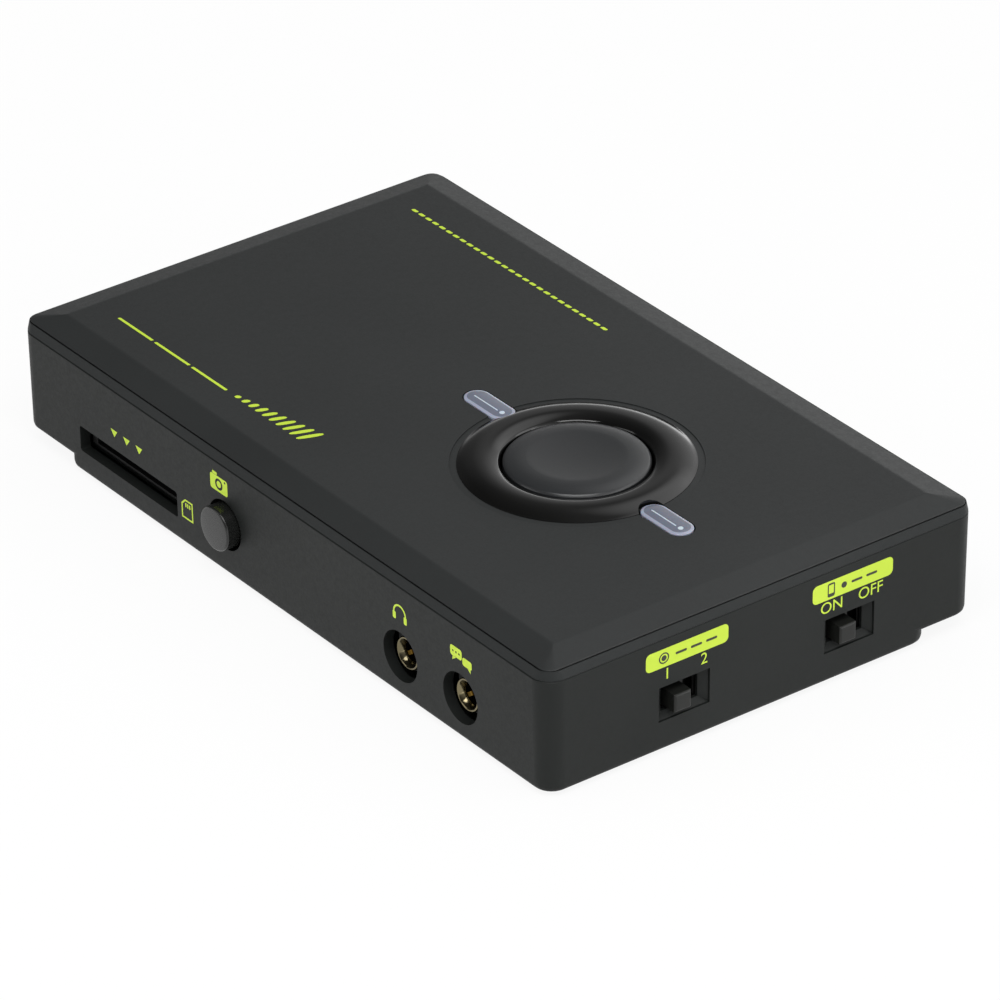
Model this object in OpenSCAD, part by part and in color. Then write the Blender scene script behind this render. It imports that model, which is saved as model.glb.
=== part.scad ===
// Video capture box: a tub and a thin bevelled lid round one circuit board.
// +X is the long axis, the wall at -Y carries the card slot, the snapshot button and two audio jacks,
// the wall at +X carries two slide switches, the wall at +Y carries the video and data ports.
// The origin is under the middle of the whole box, on the surface that the feet stand on.

/* [Case] */
// Length of the case at the parting line
case_l = 145; // [138:1:165]
// Width of the case at the parting line
case_w = 86.4; // [84:0.2:104]
// Height of the tub, from its underside to the parting line
case_h = 20.5; // [19.5:0.5:28]
// Radius of the upright corners
corner_r = 3.8; // [3.2:0.1:6]
// Thickness of the side walls at the parting line
wall = 2.2; // [1.8:0.1:2.6]
// Thickness of the tub's floor
floor_t = 1.6; // [1.4:0.1:2.2]
// Draft of the side walls, in degrees
draft = 0.9; // [0:0.1:1.4]
// Rounding of the bottom edges
edge_r = 1; // [0.4:0.1:1.2]
// Height of the base under the overhanging part of the tub
base_step = 2.1; // [1.2:0.1:3]
// How far the tub overhangs its base at the left
overhang_left = 12; // [8:0.5:16]
// How far the tub overhangs its base at the back
overhang_back = 8.9; // [6:0.1:12]
// Width of the groove at the parting line, on each piece
seam = 0.25; // [0.1:0.05:0.4]

/* [Lid] */
// Height of the lid's sloped rim
rim_h = 1.7; // [1.3:0.1:2.6]
// How far the top of the rim is set in
rim_in = 0.57; // [0.3:0.01:1]
// Chamfer along the top edge of the rim
rim_edge = 0.4; // [0.2:0.05:0.6]
// Height of the flat top over the rim
crown = 1.15; // [0.2:0.05:1.8]
// Width of the bevel between the rim and the flat top
bevel_w = 5.3; // [4:0.1:8]
// Depth of the relief under the lid
lid_relief = 0.2; // [0.1:0.05:0.4]
// Height of the lip that goes down into the tub
lip_h = 2; // [1.2:0.1:3]
// Thickness of the lip
lip_t = 1.2; // [0.8:0.1:1.8]
// Clearance between the lip and the tub
lip_gap = 0.15; // [0.1:0.05:0.3]

/* [Large button] */
// Distance from the right end to the button's axis
button_x = 48; // [44.5:0.5:52.5]
// Place of the button across the box
button_y = -0.35; // [-3:0.05:3]
// Outer radius of the ring
ring_r = 19.4; // [18.5:0.1:20.5]
// Width of the thin flange round the ring
ring_seat = 1.6; // [0.4:0.1:2.2]
// Thickness of the thin flange
ring_seat_h = 0.12; // [0.08:0.02:0.2]
// Radius from the axis to the crest of the ring
crest_r = 15.3; // [14.8:0.1:17]
// Height of the crest over the lid
crest_h = 1.1; // [0.4:0.1:1.6]
// Radius of the ring's arched section outside the crest
arch_r = 8.2; // [5.2:0.1:18]
// Radius of the ring's arched section inside the crest
arch_in = 4.5; // [4.5:0.1:18]
// Radius of the button cap
cap_r = 11.7; // [11.6:0.1:12.6]
// Gap between the cap and the ring
cap_gap = 0.85; // [0.25:0.05:1.2]
// Height of the cap's shoulder over the lid
cap_h = 1.1; // [0.4:0.05:1.8]
// How far the shoulder falls from the dish to the edge
cap_fall = 0.45; // [0.2:0.05:0.9]
// Width of the cap's rolled edge
cap_edge = 0.4; // [0.1:0.05:1.2]
// Radius of the dish in the cap
dish_r = 8.1; // [6:0.1:9.5]
// Depth of the dish
dish_d = 0.4; // [0.1:0.05:0.6]
// Thickness of the cap
cap_t = 1.6; // [1.2:0.1:2.2]
// Thickness of the cap's skirt and of the ring's sleeve
skirt_t = 1.5; // [1.2:0.1:2]
// Length of the ring's sleeve under the lid's top
sleeve_h = 6; // [4.5:0.5:7]
// Travel of both push buttons
press = 0.5; // [0.3:0.05:0.6]

/* [Light bars] */
// Width of the light bars
bar_w = 4.6; // [3.6:0.1:5.4]
// Length of the light bars
bar_l = 11.2; // [9:0.1:13]
// Radius from the button's axis to the inner end of the bars
bar_r = 17.8; // [17.4:0.1:18.4]
// Height of the bars' edges over the lid
bar_up = 0.15; // [0.1:0.05:0.4]
// Rise of the bars' rounded top over their edges
bar_dome = 0.5; // [0.2:0.05:0.8]
// Clearance round the bars
bar_gap = 0.15; // [0.1:0.05:0.25]

/* [Board] */
// Thickness of the circuit board
board_t = 1.2; // [1:0.1:1.6]
// Gap between the board and the raised floor
board_gap = 0.4; // [0.3:0.1:0.8]
// Gap between the board's edge and the walls
board_edge = 0.8; // [0.6:0.1:1.2]

/* [Card socket] */
// Distance from the left end to the middle of the card slot
card_x = 31.1; // [28.5:0.1:32.5]
// Width of the slot in the wall
slot_w = 28.2; // [26:0.2:29]
// Height of the slot in the wall
slot_h = 4.75; // [4.4:0.05:5]
// Width of the card's way in the socket
card_w = 24.6; // [24.4:0.1:25]
// Height of the card's way in the socket
card_t = 2.1; // [2.1:0.1:2.4]
// Length of the socket
socket_l = 28.4; // [27:0.2:30]

/* [Snapshot button] */
// Distance from the left end to the button's axis
snap_x = 58.85; // [57.5:0.05:62.5]
// Height of its axis over the board
snap_up = 4.05; // [3.8:0.05:4.6]
// Radius of the cap
snap_r = 3.9; // [3:0.1:4]
// How far the cap stands out of the wall
snap_out = 2.3; // [1.5:0.1:3]
// Gap round the cap
snap_gap = 0.6; // [0.25:0.05:0.7]

/* [Audio jacks] */
// Distance from the right end to the first jack's axis
jack_x = 38.3; // [35.5:0.1:42.5]
// Distance between the two jacks
jack_pitch = 15.8; // [12:0.1:16]
// Height of the jacks' axes over the board
jack_up = 2.2; // [2:0.1:3]
// Radius of the hole in the wall
jack_hole_r = 4.5; // [4:0.1:4.8]
// Radius of the ferrule
ferrule_r = 2.9; // [2.7:0.05:3.2]
// How deep the ferrule's face lies under the wall's face
ferrule_in = 1.3; // [0.6:0.1:1.6]
// Radius of the bore for the plug
plug_r = 1.8; // [1.75:0.01:1.9]
// Length of the ferrule's bore
ferrule_l = 6; // [4.5:0.5:7]
// Length of the jack's housing
jack_l = 14; // [12:0.5:16]

/* [Slide switches] */
// Place of the first switch along the right wall
switch1_y = -16.1; // [-20:0.1:-12]
// Place of the second switch along the right wall
switch2_y = 17.05; // [10:0.05:18]
// Height of the switches' middle over the board
switch_up = 3.35; // [3.1:0.05:4]
// Width of the window in the wall, at its face
win_w = 10.1; // [9.4:0.1:11]
// Height of the window in the wall, at its face
win_h = 6.3; // [5.8:0.1:6.6]
// Depth of the square edge of the window
win_step = 0.5; // [0.2:0.1:0.7]
// Depth at which the window's bevel ends
win_deep = 1.4; // [1:0.1:1.5]
// Width of the bevel
win_bevel = 1.4; // [0.6:0.1:1.5]
// Width of the knob
knob_w = 3.3; // [2.4:0.1:3.6]
// Height of the knob
knob_h = 3.2; // [2:0.1:3.4]
// How far the knob stands out of the wall
knob_out = 1.3; // [0.6:0.1:2]
// Chamfer on the edges of the knob
knob_edge = 0.25; // [0.1:0.05:0.4]
// Travel of the knob
knob_travel = 2.4; // [1.5:0.1:2.6]
// Clearance round the knob's slider
knob_gap = 0.2; // [0.15:0.05:0.3]

/* [Ports] */
// Distance from the left end to the video input
video_in_x = 44.5; // [40.5:0.5:47.5]
// Distance from the left end to the video output
video_out_x = 68.5; // [65.5:0.5:72.5]
// Distance from the left end to the data port
data_x = 92.5; // [88.5:0.5:102.5]
// Width of a video port's shell
video_w = 15.2; // [14.8:0.1:16]
// Height of a video port's shell
video_h = 6; // [5.6:0.1:6.6]
// Width of the data port's shell
data_w = 7.8; // [7.4:0.1:9]
// Height of the data port's shell
data_h = 4; // [3.8:0.1:4.6]
// Thickness of the shells
shell_t = 0.35; // [0.3:0.05:0.5]
// Gap between the shells and the wall
port_gap = 0.3; // [0.2:0.05:0.5]

/* [Feet and screws] */
// How far the feet stand out of the base
foot_h = 0.8; // [0.5:0.1:2]
// Radius of the feet
foot_r = 4.5; // [3.5:0.1:5]
// Depth of the recesses that hold the feet
foot_in = 0.4; // [0.3:0.1:0.6]
// Distance from the base's edges to the feet's middles
foot_edge = 6.5; // [6.3:0.1:8]
// Distance from a foot to the screw beside it
screw_side = 8; // [7.6:0.1:9]
// Radius of the screws' shanks
screw_r = 1.1; // [0.9:0.05:1.25]
// Length of the screws' shanks
screw_l = 10; // [8:0.5:12]
// Radius of the screws' heads
head_r = 2.2; // [1.9:0.1:2.4]
// Height of the screws' heads
head_h = 1.1; // [0.8:0.1:1.2]

/* [Hidden] */
$fn = 64;

// Places along the box, from its middle
button_c = case_l / 2 - button_x;
card_c = card_x - case_l / 2;
snap_c = snap_x - case_l / 2;
jack_c = case_l / 2 - jack_x;
video_in_c = video_in_x - case_l / 2;
video_out_c = video_out_x - case_l / 2;
data_c = data_x - case_l / 2;

// Walls of the card socket and of its shell, and the socket's gap to the wall
socket_floor = 0.4;
socket_wall = 1.4;
socket_shell = 0.3;
socket_seat = 0.3;

// Contact strips of the card socket and of the ports
strip_pitch = 2.5;
strip_w = 0.9;
strip_l = 7;
strip_t = 0.2;
strip_in = 2;
wire_w = 0.4;
wire_t = 0.1;
wire_in = 2.5;
wire_out = 2;
video_pitch = 1;
data_pitch = 0.8;

// Heights
z_base = foot_h;
z_over = z_base + base_step;
z_part = z_base + case_h;
z_rim = z_part + rim_h;
z_top = z_rim + crown;
z_under = z_part + lid_relief;
z_floor = z_base + floor_t;
z_board = z_over + floor_t + board_gap;
z_mount = z_board + board_t;
z_card = z_mount + socket_floor + card_t / 2;
z_snap = z_mount + snap_up;
z_jack = z_mount + jack_up;
z_switch = z_mount + switch_up;

// How far the drafted wall is set in at a height
function wall_in(z) = (z_part - z) * tan(draft);

// Inner faces of the walls
x_right = case_l / 2 - wall;
y_front = -case_w / 2 + wall;
y_back = case_w / 2 - wall;

// Outer faces of the walls at the height of what is in them
y_out_snap = -case_w / 2 + wall_in(z_snap);
y_out_jack = -case_w / 2 + wall_in(z_jack);
x_out_switch = case_l / 2 - wall_in(z_switch);
y_out_port = case_w / 2 - wall_in(z_mount + video_h / 2);

// The base under the tub
base_l = case_l - overhang_left;
base_w = case_w - overhang_back;
base_x = overhang_left / 2;
base_y = -overhang_back / 2;

// Feet at the corners of the base, a screw beside three of them,
// and one between the card socket and the snapshot button
foot_x = [base_x - base_l / 2 + foot_edge, base_x + base_l / 2 - foot_edge];
foot_y = [base_y - base_w / 2 + foot_edge, base_y + base_w / 2 - foot_edge];
shell_w = card_w + 2 * (socket_wall + socket_shell);
flange_out = 0.75;
flange_r = snap_r + snap_gap + flange_out;
gap_mid = (card_c + shell_w / 2 + snap_c - flange_r) / 2;
screw_at = [[gap_mid, foot_y[0]], [foot_x[1] - screw_side, foot_y[0]],
    [foot_x[0] + screw_side, foot_y[1]], [foot_x[1] - screw_side, foot_y[1]]];
post_wall = 1.8;
boss_wall = 1.6;
head_in = 0.3;
post_r = screw_r + post_wall;
boss_r = screw_r + boss_wall;
z_seat = z_base + head_h + head_in;

// Ring and cap
well_r = cap_r + cap_gap;
cap_low = cap_h - dish_d;
rim_r = cap_r - cap_edge;
hold_gap = 0.45;
sleeve_r = well_r + skirt_t;
z_sleeve = z_top - sleeve_h;
tact_w = 12;
tact_h = 3.5;
tact_in = 1.6;
plunger_in = 0.8;
plunger_up = 3.8;
plunger_r = 3.4;
stem_r = 2.4;
cap_rib = 1.2;
z_tact = z_mount + tact_h;
z_stem = z_tact + plunger_up;
fit_gap = 0.08;

// Light bars and what is under them
bar_mid = bar_r + bar_l / 2;
rib = 0.8;
rib_h = 1.2;
z_rib = z_under - rib_h;
led_w = 2.8;
led_h = 1.4;
led_pitch = 4;
leg_l = 6;
leg_w = 3;
leg_gap = 0.3;
dome_r = (pow(bar_w / 2, 2) + pow(bar_dome, 2)) / (2 * bar_dome);

// Width of the ears on each side of a jack
ear = 1.2;

// Snapshot button's stem and switch
snap_seat = 0.3;
flange_t = 0.9;
snap_stem_r = 2;
snap_stem = 2.8;
key_w = 6.5;
key_t = 3.6;
key_over = 3;
key_r = 1.7;
key_l = 1.5;
y_key = y_front + snap_seat + flange_t + snap_stem;
y_tact = y_key + press + 0.3;

// Slide switches
sw_depth = 4.5;
sw_plate = 0.5;
sw_seat = 0.1;
slider_w = knob_w + 2.7;
slider_h = knob_h + 1;
slider_t = 2;
pocket_w = slider_w + knob_travel + 2 * knob_gap;
sw_w = pocket_w + 2;
win_in_w = win_w - 2 * win_bevel;
win_in_h = win_h - 2 * win_bevel * 0.72;

// The whole box is centred over the origin, buttons and knobs included
over_x = max(0, knob_out - wall_in(z_switch));
over_y = max(0, snap_out - wall_in(z_snap));
shift = [-over_x / 2, over_y / 2, 0];

// Lengths of the ports, and width and thickness of their blades
video_l = 11.5;
data_l = 9;
video_blade = [11, 1.4];
data_blade = [4.2, 1];
port_in = 0.2;
blade_up = 0.4;
blade_in = 2.5;
y_ports = y_out_port - port_in - video_l;

// The processor, midway between the card socket and the ports
cpu_x = 42.5;
cpu = [cpu_x - case_l / 2, (y_front + socket_seat + socket_l + y_ports) / 2];
cpu_w = 17;
cpu_h = 1.4;
pad_h = 0.8;
sink_w = 25;
sink_base = 1.5;
sink_fin = 5;
sink_n = 7;
fin_t = 1.2;

// Two memory chips beside the processor, a converter before the video output and one at the right
mem_l = 8;
mem_w = 12;
mem_h = 1.1;
mem_side = 34;
mem_front = 19.65;
mem_back = 14.35;
mem_at = [[cpu[0] + mem_side, button_y - mem_front], [cpu[0] + mem_side, button_y + mem_back]];
conv_w = 10;
conv_h = 1.2;
conv_side = 8;
conv_gap = 3.3;
conv_right = 38.5;
conv_at = [[video_out_c - conv_side, y_ports - conv_gap - conv_w],
    [case_l / 2 - conv_right, y_ports - conv_gap - conv_w]];

// Capacitors: three at the right and two behind the snapshot button
can_r = 2;
can_h = 5.4;
can_right = 24.5;
can_back = 27.2;
can_snap = 7.65;
can_front = 13;
can_at = [[case_l / 2 - can_right, case_w / 2 - can_back],
    [case_l / 2 - can_right, case_w / 2 - can_back + 8],
    [case_l / 2 - can_right + 6, case_w / 2 - can_back - 2], [snap_c + can_snap, y_front + can_front],
    [snap_c + can_snap + 10, y_front + can_front - 2]];

// A flat outline with round corners
module rounded_rect(l, w, r) {
    square([l - 2 * r, w], center = true);
    square([l, w - 2 * r], center = true);
    for (sx = [-1, 1], sy = [-1, 1])
        translate([sx * (l / 2 - r), sy * (w / 2 - r)])
            circle(r);
}

// A flat outline with round ends
module stadium(l, w) {
    square([l - w, w], center = true);
    for (s = [-1, 1])
        translate([s * (l - w) / 2, 0])
            circle(w / 2);
}

// A block whose four sides follow one profile of [set-in, height] pairs, with conical corners
module profile_block(l, w, r, prof) {
    n = len(prof);
    function both(a) = concat([for (p = prof) [a - p[0], p[1]]],
        [for (i = [n - 1:-1:0]) [prof[i][0] - a, prof[i][1]]]);
    rotate([90, 0, 0])
        linear_extrude(w - 2 * r, center = true)
            polygon(both(l / 2));
    rotate([90, 0, 90])
        linear_extrude(l - 2 * r, center = true)
            polygon(both(w / 2));
    for (sx = [-1, 1], sy = [-1, 1])
        translate([sx * (l / 2 - r), sy * (w / 2 - r), 0])
            rotate_extrude()
                polygon(concat([[0, prof[0][1]]], [for (p = prof) [r - p[0], p[1]]],
                    [[0, prof[n - 1][1]]]));
}

// The rounded lower edge of a drafted wall that starts at a height
function low_edge(z0) = [for (a = [0:30:90])
    let (z = z0 + edge_r * (1 - cos(a)))
    [wall_in(z) + edge_r * (1 - sin(a)), z]];

// A cylinder that runs along Y from y0 to y1
module along_y(r, y0, y1) {
    translate([0, y0, 0])
        rotate([-90, 0, 0])
            cylinder(h = y1 - y0, r = r);
}

// The outline of a port: square above, cut off at both corners below
function port_outline(w, h, c) = [[-w / 2, h], [-w / 2, c], [-w / 2 + c * 0.8, 0],
    [w / 2 - c * 0.8, 0], [w / 2, c], [w / 2, h]];

// A port's outline run along Y from y0 to y1
module port_solid(w, h, c, y0, y1) {
    translate([0, y1, 0])
        rotate([90, 0, 0])
            linear_extrude(y1 - y0)
                polygon(port_outline(w, h, c));
}

// The bevelled window in front of a slide switch
module switch_window(y) {
    translate([x_out_switch, y, z_switch])
        intersection() {
            linear_extrude(2 * win_h, center = true)
                polygon([[2, -win_w / 2], [2, win_w / 2], [-win_step, win_w / 2], [-win_deep, win_in_w / 2],
                    [-2 * wall, win_in_w / 2], [-2 * wall, -win_in_w / 2], [-win_deep, -win_in_w / 2],
                    [-win_step, -win_w / 2]]);
            rotate([90, 0, 0])
                linear_extrude(2 * win_w, center = true)
                    polygon([[2, -win_h / 2], [2, win_h / 2], [-win_step, win_h / 2],
                        [-win_deep, win_in_h / 2], [-2 * wall, win_in_h / 2],
                        [-2 * wall, -win_in_h / 2], [-win_deep, -win_in_h / 2],
                        [-win_step, -win_h / 2]]);
        }
}

// The tub: drafted walls on a smaller base, with its posts and openings
module bottom_case() {
    z_join = z_over + edge_r + 1.5;
    color("#4a4c4a")
    difference() {
        union() {
            difference() {
                union() {
                    profile_block(case_l, case_w, corner_r, concat(low_edge(z_over),
                        [[wall_in(z_part - seam), z_part - seam], [seam, z_part]]));
                    translate([base_x, base_y, 0])
                        profile_block(base_l, base_w, corner_r,
                            concat(low_edge(z_base), [[wall_in(z_join), z_join]]));
                }
                translate([0, 0, z_over + floor_t])
                    linear_extrude(case_h)
                        rounded_rect(case_l - 2 * wall, case_w - 2 * wall, corner_r - wall);
                translate([base_x, base_y, z_floor])
                    linear_extrude(base_step + 1)
                        rounded_rect(base_l - 2 * wall, base_w - 2 * wall, corner_r - wall);
            }
            for (p = screw_at)
                translate([p[0], p[1], z_floor - floor_t / 2])
                    cylinder(h = z_board - z_floor + floor_t / 2, r = post_r);
        }
        for (p = screw_at)
            translate([p[0], p[1], z_base - 1]) {
                cylinder(h = z_board + 2, r = screw_r + 0.2);
                cylinder(h = z_seat - z_base + 1, r = head_r + 0.3);
            }
        for (x = foot_x, y = foot_y)
            translate([x, y, z_base - 1])
                cylinder(h = foot_in + 1, r = foot_r + 0.2);
        translate([card_c, y_front + 0.5, z_card])
            rotate([90, 0, 0])
                linear_extrude(wall + 2)
                    rounded_rect(slot_w, slot_h, 0.5);
        translate([snap_c, 0, z_snap])
            along_y(snap_r + snap_gap, y_front - wall - 2, y_front + 0.5);
        for (i = [0, 1])
            translate([jack_c + i * jack_pitch, 0, z_jack])
                along_y(jack_hole_r, y_front - wall - 2, y_front + 0.5);
        switch_window(switch1_y);
        switch_window(switch2_y);
        for (x = [video_in_c, video_out_c])
            translate([x, 0, z_mount - port_gap])
                port_solid(video_w + 2 * port_gap, video_h + 2 * port_gap, 2,
                    y_back - 0.5, y_back + wall + 2);
        translate([data_c, 0, z_mount - port_gap])
            port_solid(data_w + 2 * port_gap, data_h + 2 * port_gap, 1.4,
                y_back - 0.5, y_back + wall + 2);
    }
}

// A prism across the lid with the section of its bevelled top
module lid_section(a, b) {
    out = 2;
    drop = crown / bevel_w * out;
    rotate([90, 0, 0])
        linear_extrude(b + 2 * out, center = true)
            polygon([[-a / 2 - out, z_part - 1], [a / 2 + out, z_part - 1], [a / 2 + out, z_rim - drop],
                [a / 2 - bevel_w, z_top], [bevel_w - a / 2, z_top], [-a / 2 - out, z_rim - drop]]);
}

// The lid: a bevelled plate on a sloped rim, with a lip, a well for the button and bosses for the screws
module top_cover() {
    lip_l = case_l - 2 * (wall + lip_gap);
    lip_w = case_w - 2 * (wall + lip_gap);
    lip_r = max(0.4, corner_r - wall - lip_gap);
    color("#505250")
    difference() {
        union() {
            difference() {
                intersection() {
                    profile_block(case_l, case_w, corner_r, [[seam + 0.1, z_part], [0.1, z_part + seam],
                        [rim_in * (1 - rim_edge / rim_h), z_rim - rim_edge],
                        [rim_in + rim_edge, z_rim + crown / bevel_w * rim_edge],
                        [rim_in + rim_edge, z_top + 1]]);
                    lid_section(case_l - 2 * rim_in, case_w);
                    rotate([0, 0, 90])
                        lid_section(case_w - 2 * rim_in, case_l);
                }
                translate([0, 0, z_part - 1])
                    linear_extrude(lid_relief + 1)
                        rounded_rect(lip_l - 2 * lip_t, lip_w - 2 * lip_t, lip_r);
            }
            translate([0, 0, z_part - lip_h])
                linear_extrude(lip_h + lid_relief)
                    difference() {
                        rounded_rect(lip_l, lip_w, lip_r);
                        rounded_rect(lip_l - 2 * lip_t, lip_w - 2 * lip_t, lip_r);
                    }
            for (p = screw_at)
                translate([p[0], p[1], z_mount])
                    cylinder(h = z_under - z_mount + 0.4, r = boss_r);
        }
        translate([button_c, button_y, z_part - 2])
            cylinder(h = 8, r = sleeve_r + 0.1);
        for (s = [-1, 1])
            translate([button_c + s * bar_mid, button_y, z_part - 2])
                linear_extrude(8)
                    stadium(bar_l + 2 * bar_gap, bar_w + 2 * bar_gap);
        for (p = screw_at)
            translate([p[0], p[1], z_mount - 1])
                cylinder(h = screw_l + 2, r = screw_r + 0.02);
    }
}

// One side of the ring's arched section, between two radii
module half_arch(radius, from, to) {
    intersection() {
        translate([crest_r, crest_h - radius])
            circle(radius, $fn = 128);
        translate([from, -1])
            square([to - from, crest_h + 2]);
    }
}

// The ring: an arched section on a thin flange, a sleeve through the lid, a notch for each light bar
module button_bezel() {
    color("#1c1c1d")
    difference() {
        translate([button_c, button_y, z_top])
            rotate_extrude($fn = 96) {
                intersection() {
                    union() {
                        half_arch(arch_in, well_r, crest_r);
                        half_arch(arch_r, crest_r, ring_r + 1);
                    }
                    translate([well_r, 0])
                        square([ring_r - well_r, crest_h + 1]);
                    polygon([[well_r, 0], [ring_r, 0], [ring_r, 3], [well_r + 0.4, 3], [well_r + 0.4, 0.4],
                        [well_r, 0.02]]);
                }
                translate([well_r, 0])
                    square([ring_r + ring_seat - well_r, ring_seat_h]);
                translate([well_r, -sleeve_h])
                    square([skirt_t, sleeve_h + 0.02]);
            }
        for (s = [-1, 1])
            translate([button_c + s * bar_mid, button_y, z_top - 0.5])
                linear_extrude(crest_h + 2)
                    stadium(bar_l + 4 * bar_gap, bar_w + 4 * bar_gap);
    }
}

// The section of the button cap over the lid: a dish, a shoulder that falls, and the rolled edge
function cap_top() = concat(
    [for (i = [0:5]) [dish_r * i / 5, cap_low + dish_d * pow(i / 5, 2)]],
    [for (i = [1:5]) [dish_r + (rim_r - dish_r) * i / 5, cap_h - cap_fall * pow(i / 5, 2)]],
    [for (a = [34:14:90]) [rim_r + cap_edge * (sin(a) - sin(20)) / (1 - sin(20)),
        cap_h - cap_fall - 0.8 * cap_edge * (cos(20) - cos(a)) / cos(20)]]);

// The large button: cap, skirt with a flange that stops under the sleeve, and a stem down to the switch
module record_button() {
    z_flange = -sleeve_h - hold_gap;
    color("#3f4142")
    translate([button_c, button_y, z_top]) {
        rotate_extrude($fn = 96)
            polygon(concat([[0, cap_low - cap_t]], cap_top(),
                [[cap_r, z_flange], [cap_r + cap_gap + 0.9, z_flange],
                [cap_r + cap_gap + 0.9, z_flange - 1], [cap_r - skirt_t, z_flange - 1],
                [cap_r - skirt_t, cap_low - cap_t]]));
        translate([0, 0, z_stem - z_top])
            cylinder(h = z_top - z_stem + cap_low - cap_t + 0.2, r = stem_r);
        for (a = [0, 90])
            rotate([0, 0, a])
                translate([-cap_r + skirt_t - 0.2, -cap_rib / 2, z_flange - 1])
                    cube([2 * (cap_r - skirt_t + 0.2), cap_rib,
                        cap_low - cap_t + 0.2 - z_flange + 1]);
    }
}

module record_switch_body() {
    color("#222222")
    difference() {
        translate([button_c - tact_w / 2, button_y - tact_w / 2, z_mount])
            cube([tact_w, tact_w, tact_h]);
        translate([button_c, button_y, z_tact - tact_in])
            cylinder(h = 2 * tact_in, r = plunger_r + fit_gap);
    }
}

module record_plunger() {
    color("#8a8a88")
    translate([button_c, button_y, z_tact - plunger_in])
        cylinder(h = plunger_up + plunger_in, r = plunger_r);
}

// The section of a light bar, with its rounded top
module bar_section(side) {
    intersection() {
        translate([0, z_top + bar_up + bar_dome - dome_r])
            circle(dome_r, $fn = 128);
        translate([side, z_rib])
            square([bar_w / 2 - side, 2 * case_h]);
    }
}

// A light bar: a long dome through the lid, a rib under the lid and a leg down to its diodes
module light_bar(s) {
    half = (bar_l - bar_w) / 2;
    low = z_mount + led_h + leg_gap;
    color("#aab0c8")
    translate([button_c + s * bar_mid, button_y, 0]) {
        rotate([90, 0, 90])
            linear_extrude(2 * half, center = true)
                bar_section(-bar_w / 2);
        for (e = [-half, half])
            translate([e, 0, 0])
                rotate_extrude()
                    bar_section(0);
        translate([0, 0, z_rib])
            linear_extrude(z_under - z_rib)
                stadium(bar_l + 2 * rib, bar_w + 2 * rib);
        translate([-leg_l / 2, -leg_w / 2, low])
            cube([leg_l, leg_w, z_rib - low + rib_h / 2]);
    }
}

module light_bar_left() {
    light_bar(-1);
}

module light_bar_right() {
    light_bar(1);
}

module indicator_leds() {
    color("#e8e8df")
    for (s = [-1, 1], i = [-1, 1])
        translate([button_c + s * bar_mid + (i * led_pitch - led_w) / 2, button_y - led_w / 2, z_mount])
            cube([led_w, led_w, led_h]);
}

// The board: screw holes, and notches in its front edge for the jacks and the snapshot button's flange
module main_board() {
    l = case_l - 2 * (wall + board_edge);
    w = case_w - 2 * (wall + board_edge);
    color("#1f5a38")
    translate([0, 0, z_board])
        linear_extrude(board_t)
            difference() {
                rounded_rect(l, w, 1.5);
                for (p = screw_at)
                    translate(p)
                        circle(screw_r + 0.25);
                for (i = [0, 1])
                    translate([jack_c + i * jack_pitch - ferrule_r - 0.8, y_front - 1])
                        square([2 * ferrule_r + 1.6, jack_l + 1.5]);
                translate([snap_c - flange_r - 0.5, y_front - 1])
                    square([2 * flange_r + 1, snap_seat + flange_t + 1.6 + press]);
            }
}

module card_socket_base() {
    y0 = y_front + socket_seat;
    h = card_t + socket_floor;
    color("#1e1e1e")
    difference() {
        translate([card_c - card_w / 2 - socket_wall, y0, z_mount])
            cube([card_w + 2 * socket_wall, socket_l, h]);
        translate([card_c - card_w / 2, y0 - 1, z_mount + socket_floor])
            cube([card_w, socket_l - 1, h]);
    }
}

module card_socket_shell() {
    y0 = y_front + socket_seat;
    h = card_t + socket_floor;
    color("#b9bbbd")
    difference() {
        translate([card_c - shell_w / 2, y0, z_mount])
            cube([shell_w, socket_l, h + socket_shell]);
        translate([card_c - shell_w / 2 + socket_shell, y0 - 1, z_mount - 1])
            cube([shell_w - 2 * socket_shell, socket_l + 2, h + 1]);
        for (s = [-1, 1])
            translate([card_c + s * card_w / 4 - 1.5, y0 + socket_l / 2, z_mount + h - 1])
                cube([3, socket_l / 4, 3]);
    }
}

module card_contacts() {
    y0 = y_front + socket_seat + socket_l - strip_in - strip_l;
    color("#d0a848")
    for (i = [0:8])
        translate([card_c + (i - 4) * strip_pitch - strip_w / 2, y0, z_mount + socket_floor])
            cube([strip_w, strip_l, strip_t]);
}

// The snapshot button: a round cap through the wall, a flange behind the wall and a stem to its switch
module snapshot_button() {
    y0 = y_out_snap - snap_out;
    y1 = y_front + snap_seat;
    y2 = y1 + flange_t;
    color("#5a5c5b")
    translate([snap_c, y0, z_snap])
        rotate([-90, 0, 0])
            rotate_extrude()
                polygon([[0, 0], [snap_r - 0.35, 0], [snap_r - 0.1, 0.12], [snap_r, 0.4], [snap_r, y1 - y0],
                    [flange_r, y1 - y0], [flange_r, y2 - y0], [snap_stem_r, y2 - y0],
                    [snap_stem_r, y_key - y0], [0, y_key - y0]]);
}

module snapshot_switch_body() {
    color("#222222")
    difference() {
        translate([snap_c - key_w / 2, y_tact, z_mount])
            cube([key_w, key_t, snap_up + key_over]);
        translate([snap_c, 0, z_snap])
            along_y(key_r + fit_gap, y_tact - 1, y_tact + key_l);
    }
}

module snapshot_plunger() {
    color("#8a8a88")
    translate([snap_c, 0, z_snap])
        along_y(key_r, y_key, y_key + key_l);
}

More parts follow.
